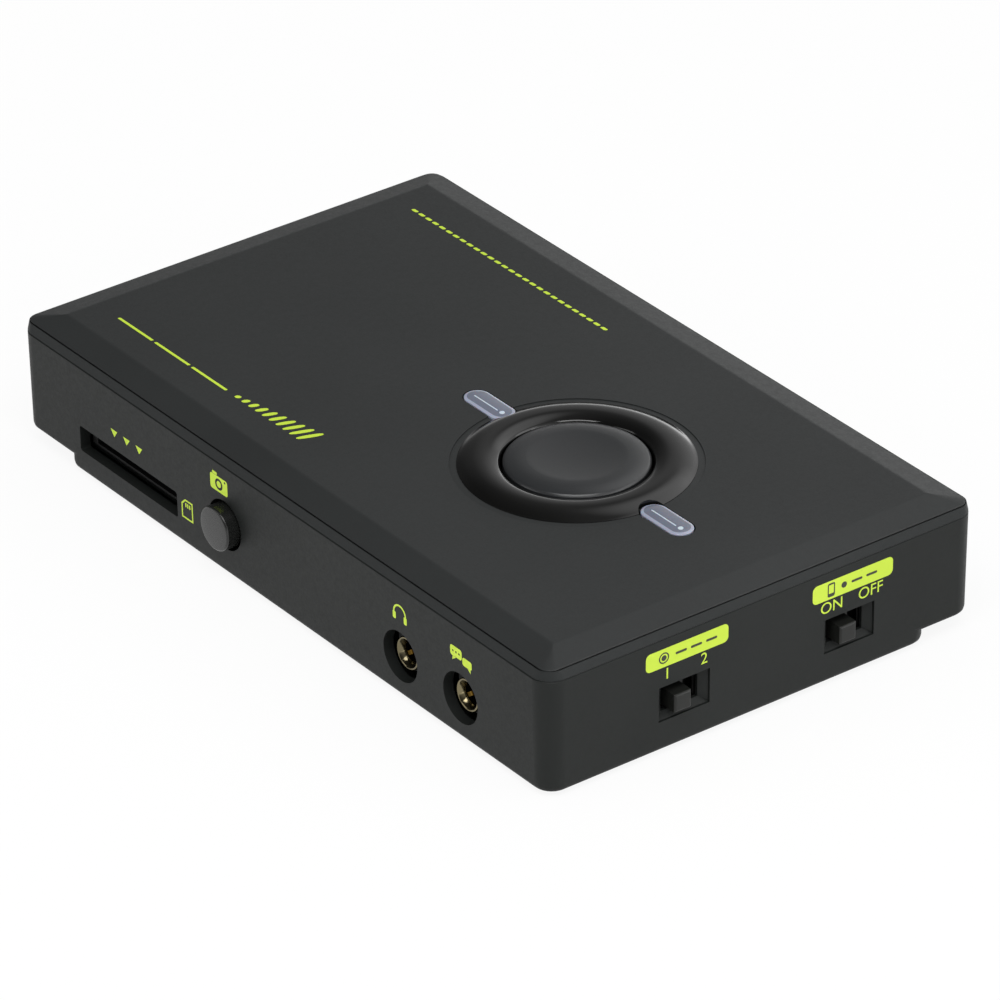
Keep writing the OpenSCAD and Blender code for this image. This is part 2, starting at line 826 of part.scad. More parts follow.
// The housing of a jack: a block in the board's notch, with ears that sit on the board
module jack_housing(x) {
    y0 = y_front + 0.2;
    h = ferrule_r;
    color("#1a1a1a")
    difference() {
        union() {
            translate([x - h - 0.4, y0, z_jack - h])
                cube([2 * h + 0.8, jack_l, 2 * h]);
            translate([x - h - ear, y0 + 2, z_mount])
                cube([2 * (h + ear), jack_l - 3, 1]);
        }
        translate([x, 0, z_jack]) {
            along_y(plug_r + 0.4, y0 - 1, y0 + ferrule_l + 0.1);
            along_y(plug_r + 0.2, y0 - 1, y0 + jack_l - 1);
        }
    }
}

// The ferrule of a jack: a collar in the wall's hole, with a tube in the housing
module jack_ferrule(x) {
    y0 = y_out_jack + ferrule_in;
    y1 = y_front + 0.2;
    color("#b8a880")
    translate([x, y0, z_jack])
        rotate([-90, 0, 0])
            rotate_extrude()
                polygon([[plug_r + 0.5, 0], [ferrule_r - 0.2, 0], [ferrule_r, 0.2], [ferrule_r, y1 - y0],
                    [plug_r + 0.35, y1 - y0], [plug_r + 0.35, ferrule_l],
                    [plug_r, ferrule_l], [plug_r, 0.3]]);
}

module headset_jack_housing() {
    jack_housing(jack_c);
}

module headset_jack_ferrule() {
    jack_ferrule(jack_c);
}

module chat_jack_housing() {
    jack_housing(jack_c + jack_pitch);
}

module chat_jack_ferrule() {
    jack_ferrule(jack_c + jack_pitch);
}

module jack_terminals() {
    color("#c8b070")
    for (i = [0, 1], s = [-1, 1], k = [0:2])
        translate([jack_c + i * jack_pitch + s * (ferrule_r + ear + 0.4) - 0.4,
            y_front + 3.4 + k * jack_l / 4, z_mount])
            cube([0.8, 1, 0.4]);
}

// The metal frame of a slide switch: a plate with a slot for the knob, and a flange over the base
module switch_frame(y) {
    x1 = x_right - sw_seat;
    top = 2 * switch_up;
    color("#a8aaac")
    difference() {
        union() {
            translate([x1 - sw_plate, y - sw_w / 2, z_mount])
                cube([sw_plate, sw_w, top]);
            translate([x1 - sw_plate - sw_depth, y - sw_w / 2, z_mount + top - sw_plate])
                cube([sw_depth + sw_plate, sw_w, sw_plate]);
        }
        translate([x1 - 2 * sw_plate, y - (knob_w + knob_travel) / 2 - 1.5 * knob_gap,
            z_switch - knob_h / 2 - 1.5 * knob_gap])
            cube([4 * sw_plate, knob_w + knob_travel + 3 * knob_gap, knob_h + 3 * knob_gap]);
    }
}

// The base of a slide switch, with the pocket that its slider runs in
module switch_base(y) {
    x1 = x_right - sw_seat - sw_plate;
    color("#191919")
    difference() {
        translate([x1 - sw_depth, y - sw_w / 2, z_mount])
            cube([sw_depth, sw_w, 2 * switch_up - sw_plate]);
        translate([x1 - slider_t - 2 * knob_gap, y - pocket_w / 2, z_switch - slider_h / 2 - knob_gap])
            cube([slider_t + 2 * knob_gap + 1, pocket_w, slider_h + 2 * knob_gap]);
    }
}

// The outline of a knob from x0 to its chamfered tip
function knob_outline(x0, tip, w) = [[x0, -w / 2], [tip - knob_edge, -w / 2], [tip, knob_edge - w / 2],
    [tip, w / 2 - knob_edge], [tip - knob_edge, w / 2], [x0, w / 2]];

// The sliding knob, at the end of its travel towards the front wall
module switch_knob(y) {
    x1 = x_right - sw_seat - sw_plate - knob_gap;
    yk = y - knob_travel / 2;
    tip = x_out_switch + knob_out;
    color("#9a9c9a") {
        translate([x1 - slider_t, yk - slider_w / 2, z_switch - slider_h / 2])
            cube([slider_t, slider_w, slider_h]);
        translate([0, yk, z_switch])
            intersection() {
                linear_extrude(knob_h, center = true)
                    polygon(knob_outline(x1 - 0.5, tip, knob_w));
                rotate([90, 0, 0])
                    linear_extrude(knob_w, center = true)
                        polygon(knob_outline(x1 - 0.5, tip, knob_h));
            }
    }
}

module mode_switch_frame() {
    switch_frame(switch1_y);
}

module mode_switch_base() {
    switch_base(switch1_y);
}

module mode_switch_knob() {
    switch_knob(switch1_y);
}

module phone_switch_frame() {
    switch_frame(switch2_y);
}

module phone_switch_base() {
    switch_base(switch2_y);
}

module phone_switch_knob() {
    switch_knob(switch2_y);
}

// The shell of a port: a bent tube, closed at its back
module port_shell(x, w, h, c, l) {
    y1 = y_out_port - port_in;
    color("#b4b6b8")
    translate([x, 0, z_mount])
        difference() {
            port_solid(w, h, c, y1 - l, y1);
            translate([0, 0, shell_t])
                port_solid(w - 2 * shell_t, h - 2 * shell_t, c - shell_t / 2, y1 - l + shell_t, y1 + 1);
        }
}

// The tongue of a port: a block at the back of the shell with a blade towards the mouth
module port_tongue(x, w, h, l, blade_w, blade_t) {
    y1 = y_out_port - port_in;
    y0 = y1 - l + shell_t;
    low = h * 0.42;
    color("#161616")
    translate([x, 0, z_mount]) {
        translate([-w / 2 + shell_t + 0.1, y0, low])
            cube([w - 2 * shell_t - 0.2, 2.5, h - shell_t - 0.1 - low]);
        translate([-blade_w / 2, y0 + 1, h * 0.5 - blade_t / 2 + blade_up])
            cube([blade_w, l - shell_t - blade_in, blade_t]);
    }
}

module video_in_shell() {
    port_shell(video_in_c, video_w, video_h, 2, video_l);
}

module video_in_tongue() {
    port_tongue(video_in_c, video_w, video_h, video_l, video_blade[0], video_blade[1]);
}

module video_out_shell() {
    port_shell(video_out_c, video_w, video_h, 2, video_l);
}

module video_out_tongue() {
    port_tongue(video_out_c, video_w, video_h, video_l, video_blade[0], video_blade[1]);
}

module data_port_shell() {
    port_shell(data_c, data_w, data_h, 1.3, data_l);
}

module data_port_tongue() {
    port_tongue(data_c, data_w, data_h, data_l, data_blade[0], data_blade[1]);
}

// A row of contact strips on a port's blade
module contact_row(x, h, l, blade_t, n, pitch) {
    y0 = y_out_port - port_in - l + shell_t;
    for (i = [0:n - 1])
        translate([x + (i - (n - 1) / 2) * pitch - wire_w / 2, y0 + wire_in,
            z_mount + h * 0.5 + blade_t / 2 + blade_up])
            cube([wire_w, l - shell_t - wire_in - wire_out, wire_t]);
}

module port_contacts() {
    color("#d0a848") {
        contact_row(video_in_c, video_h, video_l, video_blade[1], 10, video_pitch);
        contact_row(video_out_c, video_h, video_l, video_blade[1], 10, video_pitch);
        contact_row(data_c, data_h, data_l, data_blade[1], 5, data_pitch);
    }
}

module processor_chip() {
    color("#262626")
    translate([cpu[0] - cpu_w / 2, cpu[1] - cpu_w / 2, z_mount])
        cube([cpu_w, cpu_w, cpu_h]);
}

module thermal_pad() {
    color("#9fb0c0")
    translate([cpu[0] - cpu_w / 2, cpu[1] - cpu_w / 2, z_mount + cpu_h])
        cube([cpu_w, cpu_w, pad_h]);
}

// The heat sink: a plate with a row of fins
module heat_sink() {
    z0 = z_mount + cpu_h + pad_h;
    step = (sink_w - fin_t) / (sink_n - 1);
    color("#909498")
    translate([cpu[0] - sink_w / 2, cpu[1] - sink_w / 2, z0]) {
        cube([sink_w, sink_w, sink_base]);
        for (i = [0:sink_n - 1])
            translate([0, i * step, sink_base - 0.2])
                cube([sink_w, fin_t, sink_fin + 0.2]);
    }
}

module memory_chips() {
    color("#2a2a2a")
    for (p = mem_at)
        translate([p[0], p[1], z_mount])
            cube([mem_l, mem_w, mem_h]);
}

module video_chips() {
    color("#2a2a2a")
    for (p = conv_at)
        translate([p[0], p[1], z_mount])
            cube([conv_w, conv_w, conv_h]);
}

module capacitors() {
    color("#b0b2b4")
    for (p = can_at)
        translate([p[0], p[1], z_mount])
            cylinder(h = can_h, r = can_r);
}

// The case screws, driven from below through the board into the lid's bosses
module case_screws() {
    color("#707274")
    for (p = screw_at)
        translate([p[0], p[1], z_seat - head_h])
            difference() {
                union() {
                    cylinder(h = head_h, r = head_r);
                    cylinder(h = head_h + screw_l, r = screw_r);
                }
                for (a = [0, 90])
                    rotate([0, 0, a])
                        translate([-1.2, -0.25, -1])
                            cube([2.4, 0.5, 1.6]);
            }
}

module rubber_feet() {
    h = foot_h + foot_in;
    color("#202020")
    for (x = foot_x, y = foot_y)
        translate([x, y, 0])
            rotate_extrude()
                polygon([[0, 0], [foot_r - 0.5, 0], [foot_r, 0.4], [foot_r, h], [0, h]]);
}

// Moves the whole box over the origin
module place() {
    translate(shift)
        children();
}

place() bottom_case();
place() top_cover();
place() button_bezel();
place() record_button();
place() record_switch_body();
place() record_plunger();
place() light_bar_left();
place() light_bar_right();
place() indicator_leds();
place() main_board();
place() card_socket_base();
place() card_socket_shell();
place() card_contacts();
place() snapshot_button();
place() snapshot_switch_body();
place() snapshot_plunger();
place() headset_jack_housing();
place() headset_jack_ferrule();
place() chat_jack_housing();
place() chat_jack_ferrule();
place() jack_terminals();
place() mode_switch_frame();
place() mode_switch_base();
place() mode_switch_knob();
place() phone_switch_frame();
place() phone_switch_base();
place() phone_switch_knob();
place() video_in_shell();
place() video_in_tongue();
place() video_out_shell();
place() video_out_tongue();
place() data_port_shell();
place() data_port_tongue();
place() port_contacts();
place() processor_chip();
place() thermal_pad();
place() heat_sink();
place() memory_chips();
place() video_chips();
place() capacitors();
place() case_screws();
place() rubber_feet();
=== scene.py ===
"""Looks of a video capture box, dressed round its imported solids.

The box is a matte dark tub with a thin bevelled lid.  A large push button sits in a glossy ring
between two milky light bars, the front wall has a card slot, a small button and two audio jacks,
and the right wall has two slide switches.  Lengths in the size fields are millimetres; meshes are
written in metres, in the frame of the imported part.
"""

from __future__ import annotations

import logging
import math
from collections.abc import Callable, Iterable, Sequence
from dataclasses import dataclass, field
from enum import Enum

import bmesh
import bpy
from mathutils import Matrix, Vector

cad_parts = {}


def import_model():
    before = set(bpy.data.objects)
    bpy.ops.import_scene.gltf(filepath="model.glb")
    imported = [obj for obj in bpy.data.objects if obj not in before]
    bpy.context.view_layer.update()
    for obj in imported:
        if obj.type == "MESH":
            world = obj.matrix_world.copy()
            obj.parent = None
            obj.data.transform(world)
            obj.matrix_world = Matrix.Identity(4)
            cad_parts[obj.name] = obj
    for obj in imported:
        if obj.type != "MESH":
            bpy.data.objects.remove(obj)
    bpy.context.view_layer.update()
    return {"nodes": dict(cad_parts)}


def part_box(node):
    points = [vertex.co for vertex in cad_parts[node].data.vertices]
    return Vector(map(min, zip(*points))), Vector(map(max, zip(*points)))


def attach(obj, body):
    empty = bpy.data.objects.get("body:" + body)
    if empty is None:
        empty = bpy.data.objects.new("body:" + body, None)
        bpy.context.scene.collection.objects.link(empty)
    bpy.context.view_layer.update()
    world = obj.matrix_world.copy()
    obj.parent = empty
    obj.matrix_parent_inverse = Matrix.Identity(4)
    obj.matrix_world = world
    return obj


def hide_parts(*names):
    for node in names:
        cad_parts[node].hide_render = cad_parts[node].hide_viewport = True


LOG = logging.getLogger("capture_box")
MM = 0.001
WHITE = (1.0, 1.0, 1.0, 1.0)

MIX_LOW, MIX_HIGH, MIX_OUT = 6, 7, 2
COAT_ROUGH = 0.08
BUMP_STRENGTH = 0.6
SCATTER_WEIGHT, SCATTER_REACH = 0.2, 0.0006
SMUDGE_SCALE, SPECK_SCALE = 90.0, 400.0

CRISP_SHELL, CRISP_TURNED, CRISP_LENS = 36.0, 40.0, 50.0
FLAT_WEIGHT = 80
RING_STEPS, CAP_STEPS, SMALL_STEPS, END_STEPS, DOT_STEPS = 192, 160, 96, 20, 24
FLAT_WELD = 1e-4
COPY_WELD, COPY_FLAT = 2e-6, 0.3

Point = tuple[float, float]
Loop = list[Point]
Colour = tuple[float, float, float]


class Body(str, Enum):
    """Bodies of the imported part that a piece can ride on."""

    CASE = "case"
    RECORD = "record_press"
    SNAPSHOT = "snapshot_press"
    MODE = "mode_slider"
    PHONE = "phone_slider"


class Surface(Enum):
    """How the skin of a finish is textured."""

    MOULDED = "moulded"
    POLISHED = "polished"
    PLATED = "plated"
    PRINTED = "printed"
    MILKY = "milky"
    BOARD = "board"


class Axis(Enum):
    """Axis that a turned piece is revolved about, with its height along that axis."""

    UP = "up"
    BACK = "back"


def linear(hex_colour: str) -> Colour:
    """Turn a screen colour into linear light.

    Args:
        hex_colour: Six hexadecimal digits, such as "3a3c3b".

    Returns:
        Red, green and blue in linear light, from 0 to 1.
    """
    values = []
    for start in (0, 2, 4):
        part = int(hex_colour[start:start + 2], 16) / 255
        values.append(part / 12.92 if part <= 0.04045 else ((part + 0.055) / 1.055) ** 2.4)
    return values[0], values[1], values[2]


def add_object(name: str, data: bpy.types.ID) -> bpy.types.Object:
    """Put new data into the scene as an object.

    Args:
        name: Name of the object.
        data: Its mesh, curve, lamp or camera.

    Returns:
        The new object.
    """
    made = bpy.data.objects.new(name, data)
    bpy.context.scene.collection.objects.link(made)
    return made


def to_mesh(name: str, bm: bmesh.types.BMesh) -> bpy.types.Mesh:
    """Write a working mesh into a new mesh, and free it.

    Args:
        name: Name of the mesh.
        bm: The working mesh.

    Returns:
        The new mesh.
    """
    mesh = bpy.data.meshes.new(name)
    bm.to_mesh(mesh)
    bm.free()
    return mesh


class NodeTree:
    """A thin wrapper that adds and links nodes of one tree in short calls."""

    def __init__(self, tree: bpy.types.NodeTree) -> None:
        """Keep the tree and clear it."""
        self.tree = tree
        tree.nodes.clear()

    def add(self, kind: str, inputs: dict[str | int, object] | None = None,
            **props: object) -> bpy.types.Node:
        """Add one node.

        Args:
            kind: Blender's name of the node type.
            inputs: Values or sockets for its inputs, by name or place.
            props: Plain properties of the node.

        Returns:
            The new node.
        """
        node = self.tree.nodes.new(kind)
        for name, value in props.items():
            setattr(node, name, value)
        for key, value in (inputs or {}).items():
            if isinstance(value, bpy.types.NodeSocket):
                self.tree.links.new(value, node.inputs[key])
            else:
                node.inputs[key].default_value = value
        return node

    def out(self, kind: str, inputs: dict[str | int, object] | None = None,
            **props: object) -> bpy.types.NodeSocket:
        """Add one node and return its first output."""
        return self.add(kind, inputs, **props).outputs[0]

    def math(self, operation: str, *values: object) -> bpy.types.NodeSocket:
        """Add a Math node and return its output."""
        return self.out("ShaderNodeMath", dict(enumerate(values)), operation=operation)

    def vector(self, **parts: object) -> bpy.types.NodeSocket:
        """Add a vector from its parts X, Y and Z, and return its output."""
        return self.out("ShaderNodeCombineXYZ", parts)

    def remap(self, value: bpy.types.NodeSocket, low: float, high: float) -> bpy.types.NodeSocket:
        """Stretch the range between two values to 0 to 1."""
        return self.out("ShaderNodeMapRange", {"Value": value, "From Min": low, "From Max": high})

    def place(self) -> bpy.types.NodeSocket:
        """Add the coordinates of the object itself."""
        return self.add("ShaderNodeTexCoord").outputs["Object"]


class SkinGroups:
    """Shader node groups that several finishes share."""

    CELL_SHARE, CELL_DEPTH = 0.37, 0.45
    TOPS, TONES, STREAKS = (0.45, 1.0), (0.3, 0.7), (0.42, 0.75)
    STREAK_TURN, STREAK_STRETCH = (0.2, 0.1, 0.7), (1.0, 2.6, 1.0)

    def __init__(self) -> None:
        """Build each group once."""
        self.grain = self._grain()
        self.drift = self._drift()
        self.smudge = self._smudge()

    @staticmethod
    def _open(name: str, inputs: dict[str, float],
              outputs: Iterable[str]) -> tuple[NodeTree, bpy.types.Node]:
        """Start a group with named sockets.

        Args:
            name: Name of the group.
            inputs: Names and default values of its inputs.
            outputs: Names of its outputs.

        Returns:
            The wrapped tree and its input node.
        """
        tree = bpy.data.node_groups.new(name, "ShaderNodeTree")
        for socket, value in inputs.items():
            made = tree.interface.new_socket(socket, in_out="INPUT", socket_type="NodeSocketFloat")
            made.default_value = value
        for socket in outputs:
            tree.interface.new_socket(socket, in_out="OUTPUT", socket_type="NodeSocketFloat")
        wrapped = NodeTree(tree)
        return wrapped, wrapped.add("NodeGroupInput")

    def _grain(self) -> bpy.types.NodeTree:
        """Fine pits of a spark-eroded mould: a height, and a mask of their tops.

        Returns:
            The group's tree.
        """
        net, given = self._open("mould_grain", {"Scale": 3000.0, "Softness": 0.5}, ("Height", "Tops"))
        place = net.place()
        fine = net.out("ShaderNodeTexNoise", {"Vector": place, "Scale": given.outputs["Scale"],
                                              "Detail": 2.0, "Roughness": given.outputs["Softness"]})
        wide = net.math("MULTIPLY", given.outputs["Scale"], self.CELL_SHARE)
        cells = net.add("ShaderNodeTexVoronoi", {"Vector": place, "Scale": wide}, feature="SMOOTH_F1")
        both = net.math("MULTIPLY_ADD", cells.outputs["Distance"], self.CELL_DEPTH, fine)
        net.add("NodeGroupOutput", {"Height": both, "Tops": net.remap(both, *self.TOPS)})
        return net.tree

    def _drift(self) -> bpy.types.NodeTree:
        """Slow change of tone over a hand's width, as in any moulded batch.

        Returns:
            The group's tree.
        """
        net, given = self._open("tone_drift", {"Scale": 25.0}, ("Tone",))
        slow = net.out("ShaderNodeTexNoise", {"Vector": net.place(), "Scale": given.outputs["Scale"],
                                              "Detail": 3.0})
        net.add("NodeGroupOutput", {"Tone": net.remap(slow, *self.TONES)})
        return net.tree

    def _smudge(self) -> bpy.types.NodeTree:
        """Faint handling marks: stretched soft streaks that dull a polish.

        Returns:
            The group's tree.
        """
        net, given = self._open("handling_smudge", {"Scale": 90.0}, ("Mask",))
        turned = net.out("ShaderNodeMapping", {"Vector": net.place(), "Rotation": self.STREAK_TURN,
                                               "Scale": self.STREAK_STRETCH})
        streak = net.out("ShaderNodeTexNoise", {"Vector": turned, "Scale": given.outputs["Scale"],
                                                "Detail": 4.0, "Distortion": 0.6})
        net.add("NodeGroupOutput", {"Mask": net.remap(streak, *self.STREAKS)})
        return net.tree


@dataclass(frozen=True)
class Finish:
    """One finish of the box: its colour range, gloss and texture."""

    name: str
    low: str
    high: str
    rough: tuple[float, float]
    surface: Surface
    specular: float = 0.5
    coat: float = 0.0
    grain_scale: float = 2600.0
    grain_depth: float = 0.006
    drift_scale: float = 25.0

    def material(self, groups: SkinGroups) -> bpy.types.Material:
        """Build the material, or return it if it is built.

        Args:
            groups: Shader groups that the finish draws on.

        Returns:
            The finished material.
        """
        known = bpy.data.materials.get(self.name)
        if known:
            return known
        made = bpy.data.materials.new(self.name)
        made.use_nodes = True
        low, high = ((*linear(tone), 1.0) for tone in (self.low, self.high))
        made.diffuse_color = high
        net = NodeTree(made.node_tree)
        drift = net.add("ShaderNodeGroup", {"Scale": self.drift_scale}, node_tree=groups.drift)
        tone = net.add("ShaderNodeMix", {"Factor": drift.outputs["Tone"], MIX_LOW: low, MIX_HIGH: high},
                       data_type="RGBA")
        mask, height = self._texture(net, groups)
        rough = net.out("ShaderNodeMapRange", {"Value": mask, "To Min": self.rough[0],
                                               "To Max": self.rough[1]})
        skin = {"Base Color": tone.outputs[MIX_OUT], "Roughness": rough,
                "Metallic": float(self.surface is Surface.PLATED), "Specular IOR Level": self.specular,
                "Coat Weight": self.coat, "Coat Roughness": COAT_ROUGH}
        if self.grain_depth > 0:
            skin["Normal"] = net.out("ShaderNodeBump", {"Height": height, "Strength": BUMP_STRENGTH,
                                                        "Distance": self.grain_depth * MM})
        if self.surface is Surface.MILKY:
            skin |= {"Subsurface Weight": SCATTER_WEIGHT, "Subsurface Scale": SCATTER_REACH}
        net.add("ShaderNodeOutputMaterial", {"Surface": net.out("ShaderNodeBsdfPrincipled", skin)})
        return made

    def _texture(self, net: NodeTree,
                 groups: SkinGroups) -> tuple[bpy.types.NodeSocket, bpy.types.NodeSocket]:
        """Place the groups that texture this surface.

        Args:
            net: The material's tree.
            groups: Shader groups that the finish draws on.

        Returns:
            A mask for the roughness and a height for the bump.
        """
        grain = net.add("ShaderNodeGroup", {"Scale": self.grain_scale}, node_tree=groups.grain)
        if self.surface in (Surface.MOULDED, Surface.PRINTED, Surface.BOARD):
            return grain.outputs["Tops"], grain.outputs["Height"]
        scale = SMUDGE_SCALE if self.surface is Surface.POLISHED else SPECK_SCALE
        smudge = net.add("ShaderNodeGroup", {"Scale": scale}, node_tree=groups.smudge)
        return smudge.outputs["Mask"], grain.outputs["Height"]


def milky(name: str, low: str, high: str, rough: tuple[float, float]) -> Finish:
    """A milky light-guide finish under a thin clear coat."""
    return Finish(name, low, high, rough, Surface.MILKY, coat=0.3, grain_depth=0.0, drift_scale=120.0)


CASE_PLASTIC = Finish("case_moulding", "1d1f1e", "222423", (0.42, 0.54), Surface.MOULDED, specular=0.15)
RIM_PLASTIC = Finish("rim_moulding", "262828", "2a2c2c", (0.42, 0.54), Surface.MOULDED, specular=0.12)
LID_PLASTIC = Finish("lid_moulding", "262828", "2a2c2c", (0.42, 0.54), Surface.MOULDED, specular=0.3)
RING_GLOSS = Finish("ring_gloss_black", "0b0b0b", "0f0f0e", (0.10, 0.18), Surface.POLISHED, grain_depth=0.0)
CAP_SATIN = Finish("button_cap_satin", "262829", "2b2c2e", (0.28, 0.36), Surface.MOULDED, grain_scale=4200.0,
                   grain_depth=0.003)
SNAP_SATIN = Finish("snapshot_cap_satin", "171817", "1c1d1c", (0.24, 0.32), Surface.MOULDED, grain_scale=4200.0,
                    grain_depth=0.003)
KNOB_PLASTIC = Finish("slide_knob_plastic", "161715", "1b1c1a", (0.34, 0.46), Surface.MOULDED, specular=0.3)
BLACK_PLASTIC = Finish("black_insulator", "0b0b0b", "101010", (0.5, 0.65), Surface.MOULDED)
PLUNGER_PLASTIC = Finish("plunger_nylon", "777773", "8a8a86", (0.4, 0.55), Surface.MOULDED)
LIGHT_GUIDE = milky("light_guide_milky", "686d7c", "727787", (0.16, 0.24))
# Painted light: the bars' rims are paler to stand in for the light that their edges catch.
PAINTED_EDGE_LIGHT = milky("light_guide_painted_edge_light", "9a9fb2", "a6abbe", (0.14, 0.22))
# Painted highlight: the pale streak and dot along each light bar stand in for a lamp's reflection.
PAINTED_BAR_HIGHLIGHT = milky("painted_bar_highlight", "cdd1da", "d9dde6", (0.14, 0.22))
LED_RESIN = Finish("diode_resin", "d9d6c4", "efecdd", (0.2, 0.3), Surface.POLISHED, grain_depth=0.0)
NICKEL = Finish("plated_shell", "9b9da0", "b8babd", (0.2, 0.34), Surface.PLATED, grain_depth=0.002)
# Painted shade: the switch frames, deep in the wall's windows, are near black to stand in for the shade there.
SHADED_SWITCH_STEEL = Finish("switch_steel_painted_shade", "1c1c1c", "282828", (0.3, 0.42), Surface.PLATED, grain_depth=0.002)
# Partly painted shade: an olive plating, darkened further to stand in for the shade deep in the jacks' holes.
JACK_METAL = Finish("jack_plating", "5d5745", "7d745a", (0.14, 0.26), Surface.PLATED, grain_depth=0.0)
GOLD = Finish("contact_gold", "b98d35", "d6ac55", (0.16, 0.28), Surface.PLATED, grain_depth=0.0)
TIN = Finish("solder_tin", "a8aaaa", "c3c5c5", (0.24, 0.4), Surface.PLATED)
SOLDER_MASK = Finish("solder_mask_black", "0a0d0c", "101412", (0.34, 0.46), Surface.BOARD, coat=0.15,
                     grain_scale=900.0, grain_depth=0.004)
CHIP_EPOXY = Finish("chip_epoxy", "151515", "1d1d1d", (0.5, 0.66), Surface.MOULDED, grain_scale=3600.0)
PAD_SILICONE = Finish("gap_pad_silicone", "7d8c9a", "93a3b1", (0.6, 0.75), Surface.MOULDED)
SINK_ALUMINIUM = Finish("anodised_sink", "4a4c4f", "5a5c5f", (0.3, 0.45), Surface.PLATED)
CAN_ALUMINIUM = Finish("capacitor_can", "a6a8aa", "bdbfc1", (0.2, 0.32), Surface.PLATED)
SCREW_STEEL = Finish("screw_zinc", "6a6c6e", "828486", (0.25, 0.4), Surface.PLATED)
FOOT_RUBBER = Finish("foot_rubber", "141414", "1b1b1b", (0.72, 0.88), Surface.MOULDED, grain_scale=1500.0,
                     grain_depth=0.01)
LIME_INK = Finish("lime_ink", "bfdc2c", "cbe63a", (0.45, 0.58), Surface.PRINTED, grain_depth=0.002)
DARK_INK = Finish("dark_ink", "23261c", "2b2e22", (0.5, 0.62), Surface.PRINTED, grain_depth=0.002)

NODE_FINISHES: dict[str, Finish] = {
    "record_switch_body": BLACK_PLASTIC, "record_plunger": PLUNGER_PLASTIC, "indicator_leds": LED_RESIN,
    "main_board": SOLDER_MASK, "card_socket_base": BLACK_PLASTIC, "card_socket_shell": NICKEL,
    "card_contacts": GOLD, "snapshot_switch_body": BLACK_PLASTIC, "snapshot_plunger": PLUNGER_PLASTIC,
    "headset_jack_housing": BLACK_PLASTIC, "chat_jack_housing": BLACK_PLASTIC, "jack_terminals": TIN,
    "mode_switch_frame": SHADED_SWITCH_STEEL, "mode_switch_base": BLACK_PLASTIC, "phone_switch_frame": SHADED_SWITCH_STEEL,
    "phone_switch_base": BLACK_PLASTIC, "video_in_shell": NICKEL, "video_in_tongue": BLACK_PLASTIC,
    "video_out_shell": NICKEL, "video_out_tongue": BLACK_PLASTIC, "data_port_shell": NICKEL,
    "data_port_tongue": BLACK_PLASTIC, "port_contacts": GOLD, "processor_chip": CHIP_EPOXY,
    "thermal_pad": PAD_SILICONE, "heat_sink": SINK_ALUMINIUM, "memory_chips": CHIP_EPOXY,
    "video_chips": CHIP_EPOXY, "capacitors": CAN_ALUMINIUM, "case_screws": SCREW_STEEL,
    "rubber_feet": FOOT_RUBBER,
}


@dataclass
class Layout:
    """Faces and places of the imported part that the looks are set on, in metres."""

    nodes: dict[str, bpy.types.Object]
    centre: Vector
    half: Vector
    part: float
    top: float
    button: Vector
    draft: float = math.radians(0.9)

    @classmethod
    def read(cls, nodes: dict[str, bpy.types.Object]) -> Layout:
        """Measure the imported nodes.

        Args:
            nodes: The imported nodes' objects by name.

        Returns:
            The layout of the box.
        """
        low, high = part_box("bottom_case")
        ring_low, ring_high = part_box("button_bezel")
        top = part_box("top_cover")[1].z
        button = (ring_low + ring_high) / 2
        return cls(nodes, (low + high) / 2, (high - low) / 2, high.z, top,
                   Vector((button.x, button.y, top)))

    def wall_in(self, z: float) -> float:
        """How far the drafted walls are set in at a height."""
        return (self.part - z) * math.tan(self.draft)

    def on_front(self, u: float, v: float, lift: float) -> Vector:
        """Point on the front wall, u along it and v up, in millimetres, lifted off its face."""
        y = self.centre.y - self.half.y + self.wall_in(v * MM) - lift * MM
        return Vector((self.centre.x + u * MM, y, v * MM))

    def on_side(self, u: float, v: float, lift: float) -> Vector:
        """Point on the right wall, u along it and v up, in millimetres, lifted off its face."""
        x = self.centre.x + self.half.x - self.wall_in(v * MM) + lift * MM
        return Vector((x, self.centre.y + u * MM, v * MM))

    def on_lid(self, u: float, v: float, lift: float) -> Vector:
        """Point on the lid's flat top, in millimetres from the middle of the case, lifted off it."""
        return Vector((self.centre.x + u * MM, self.centre.y + v * MM, self.top + lift * MM))


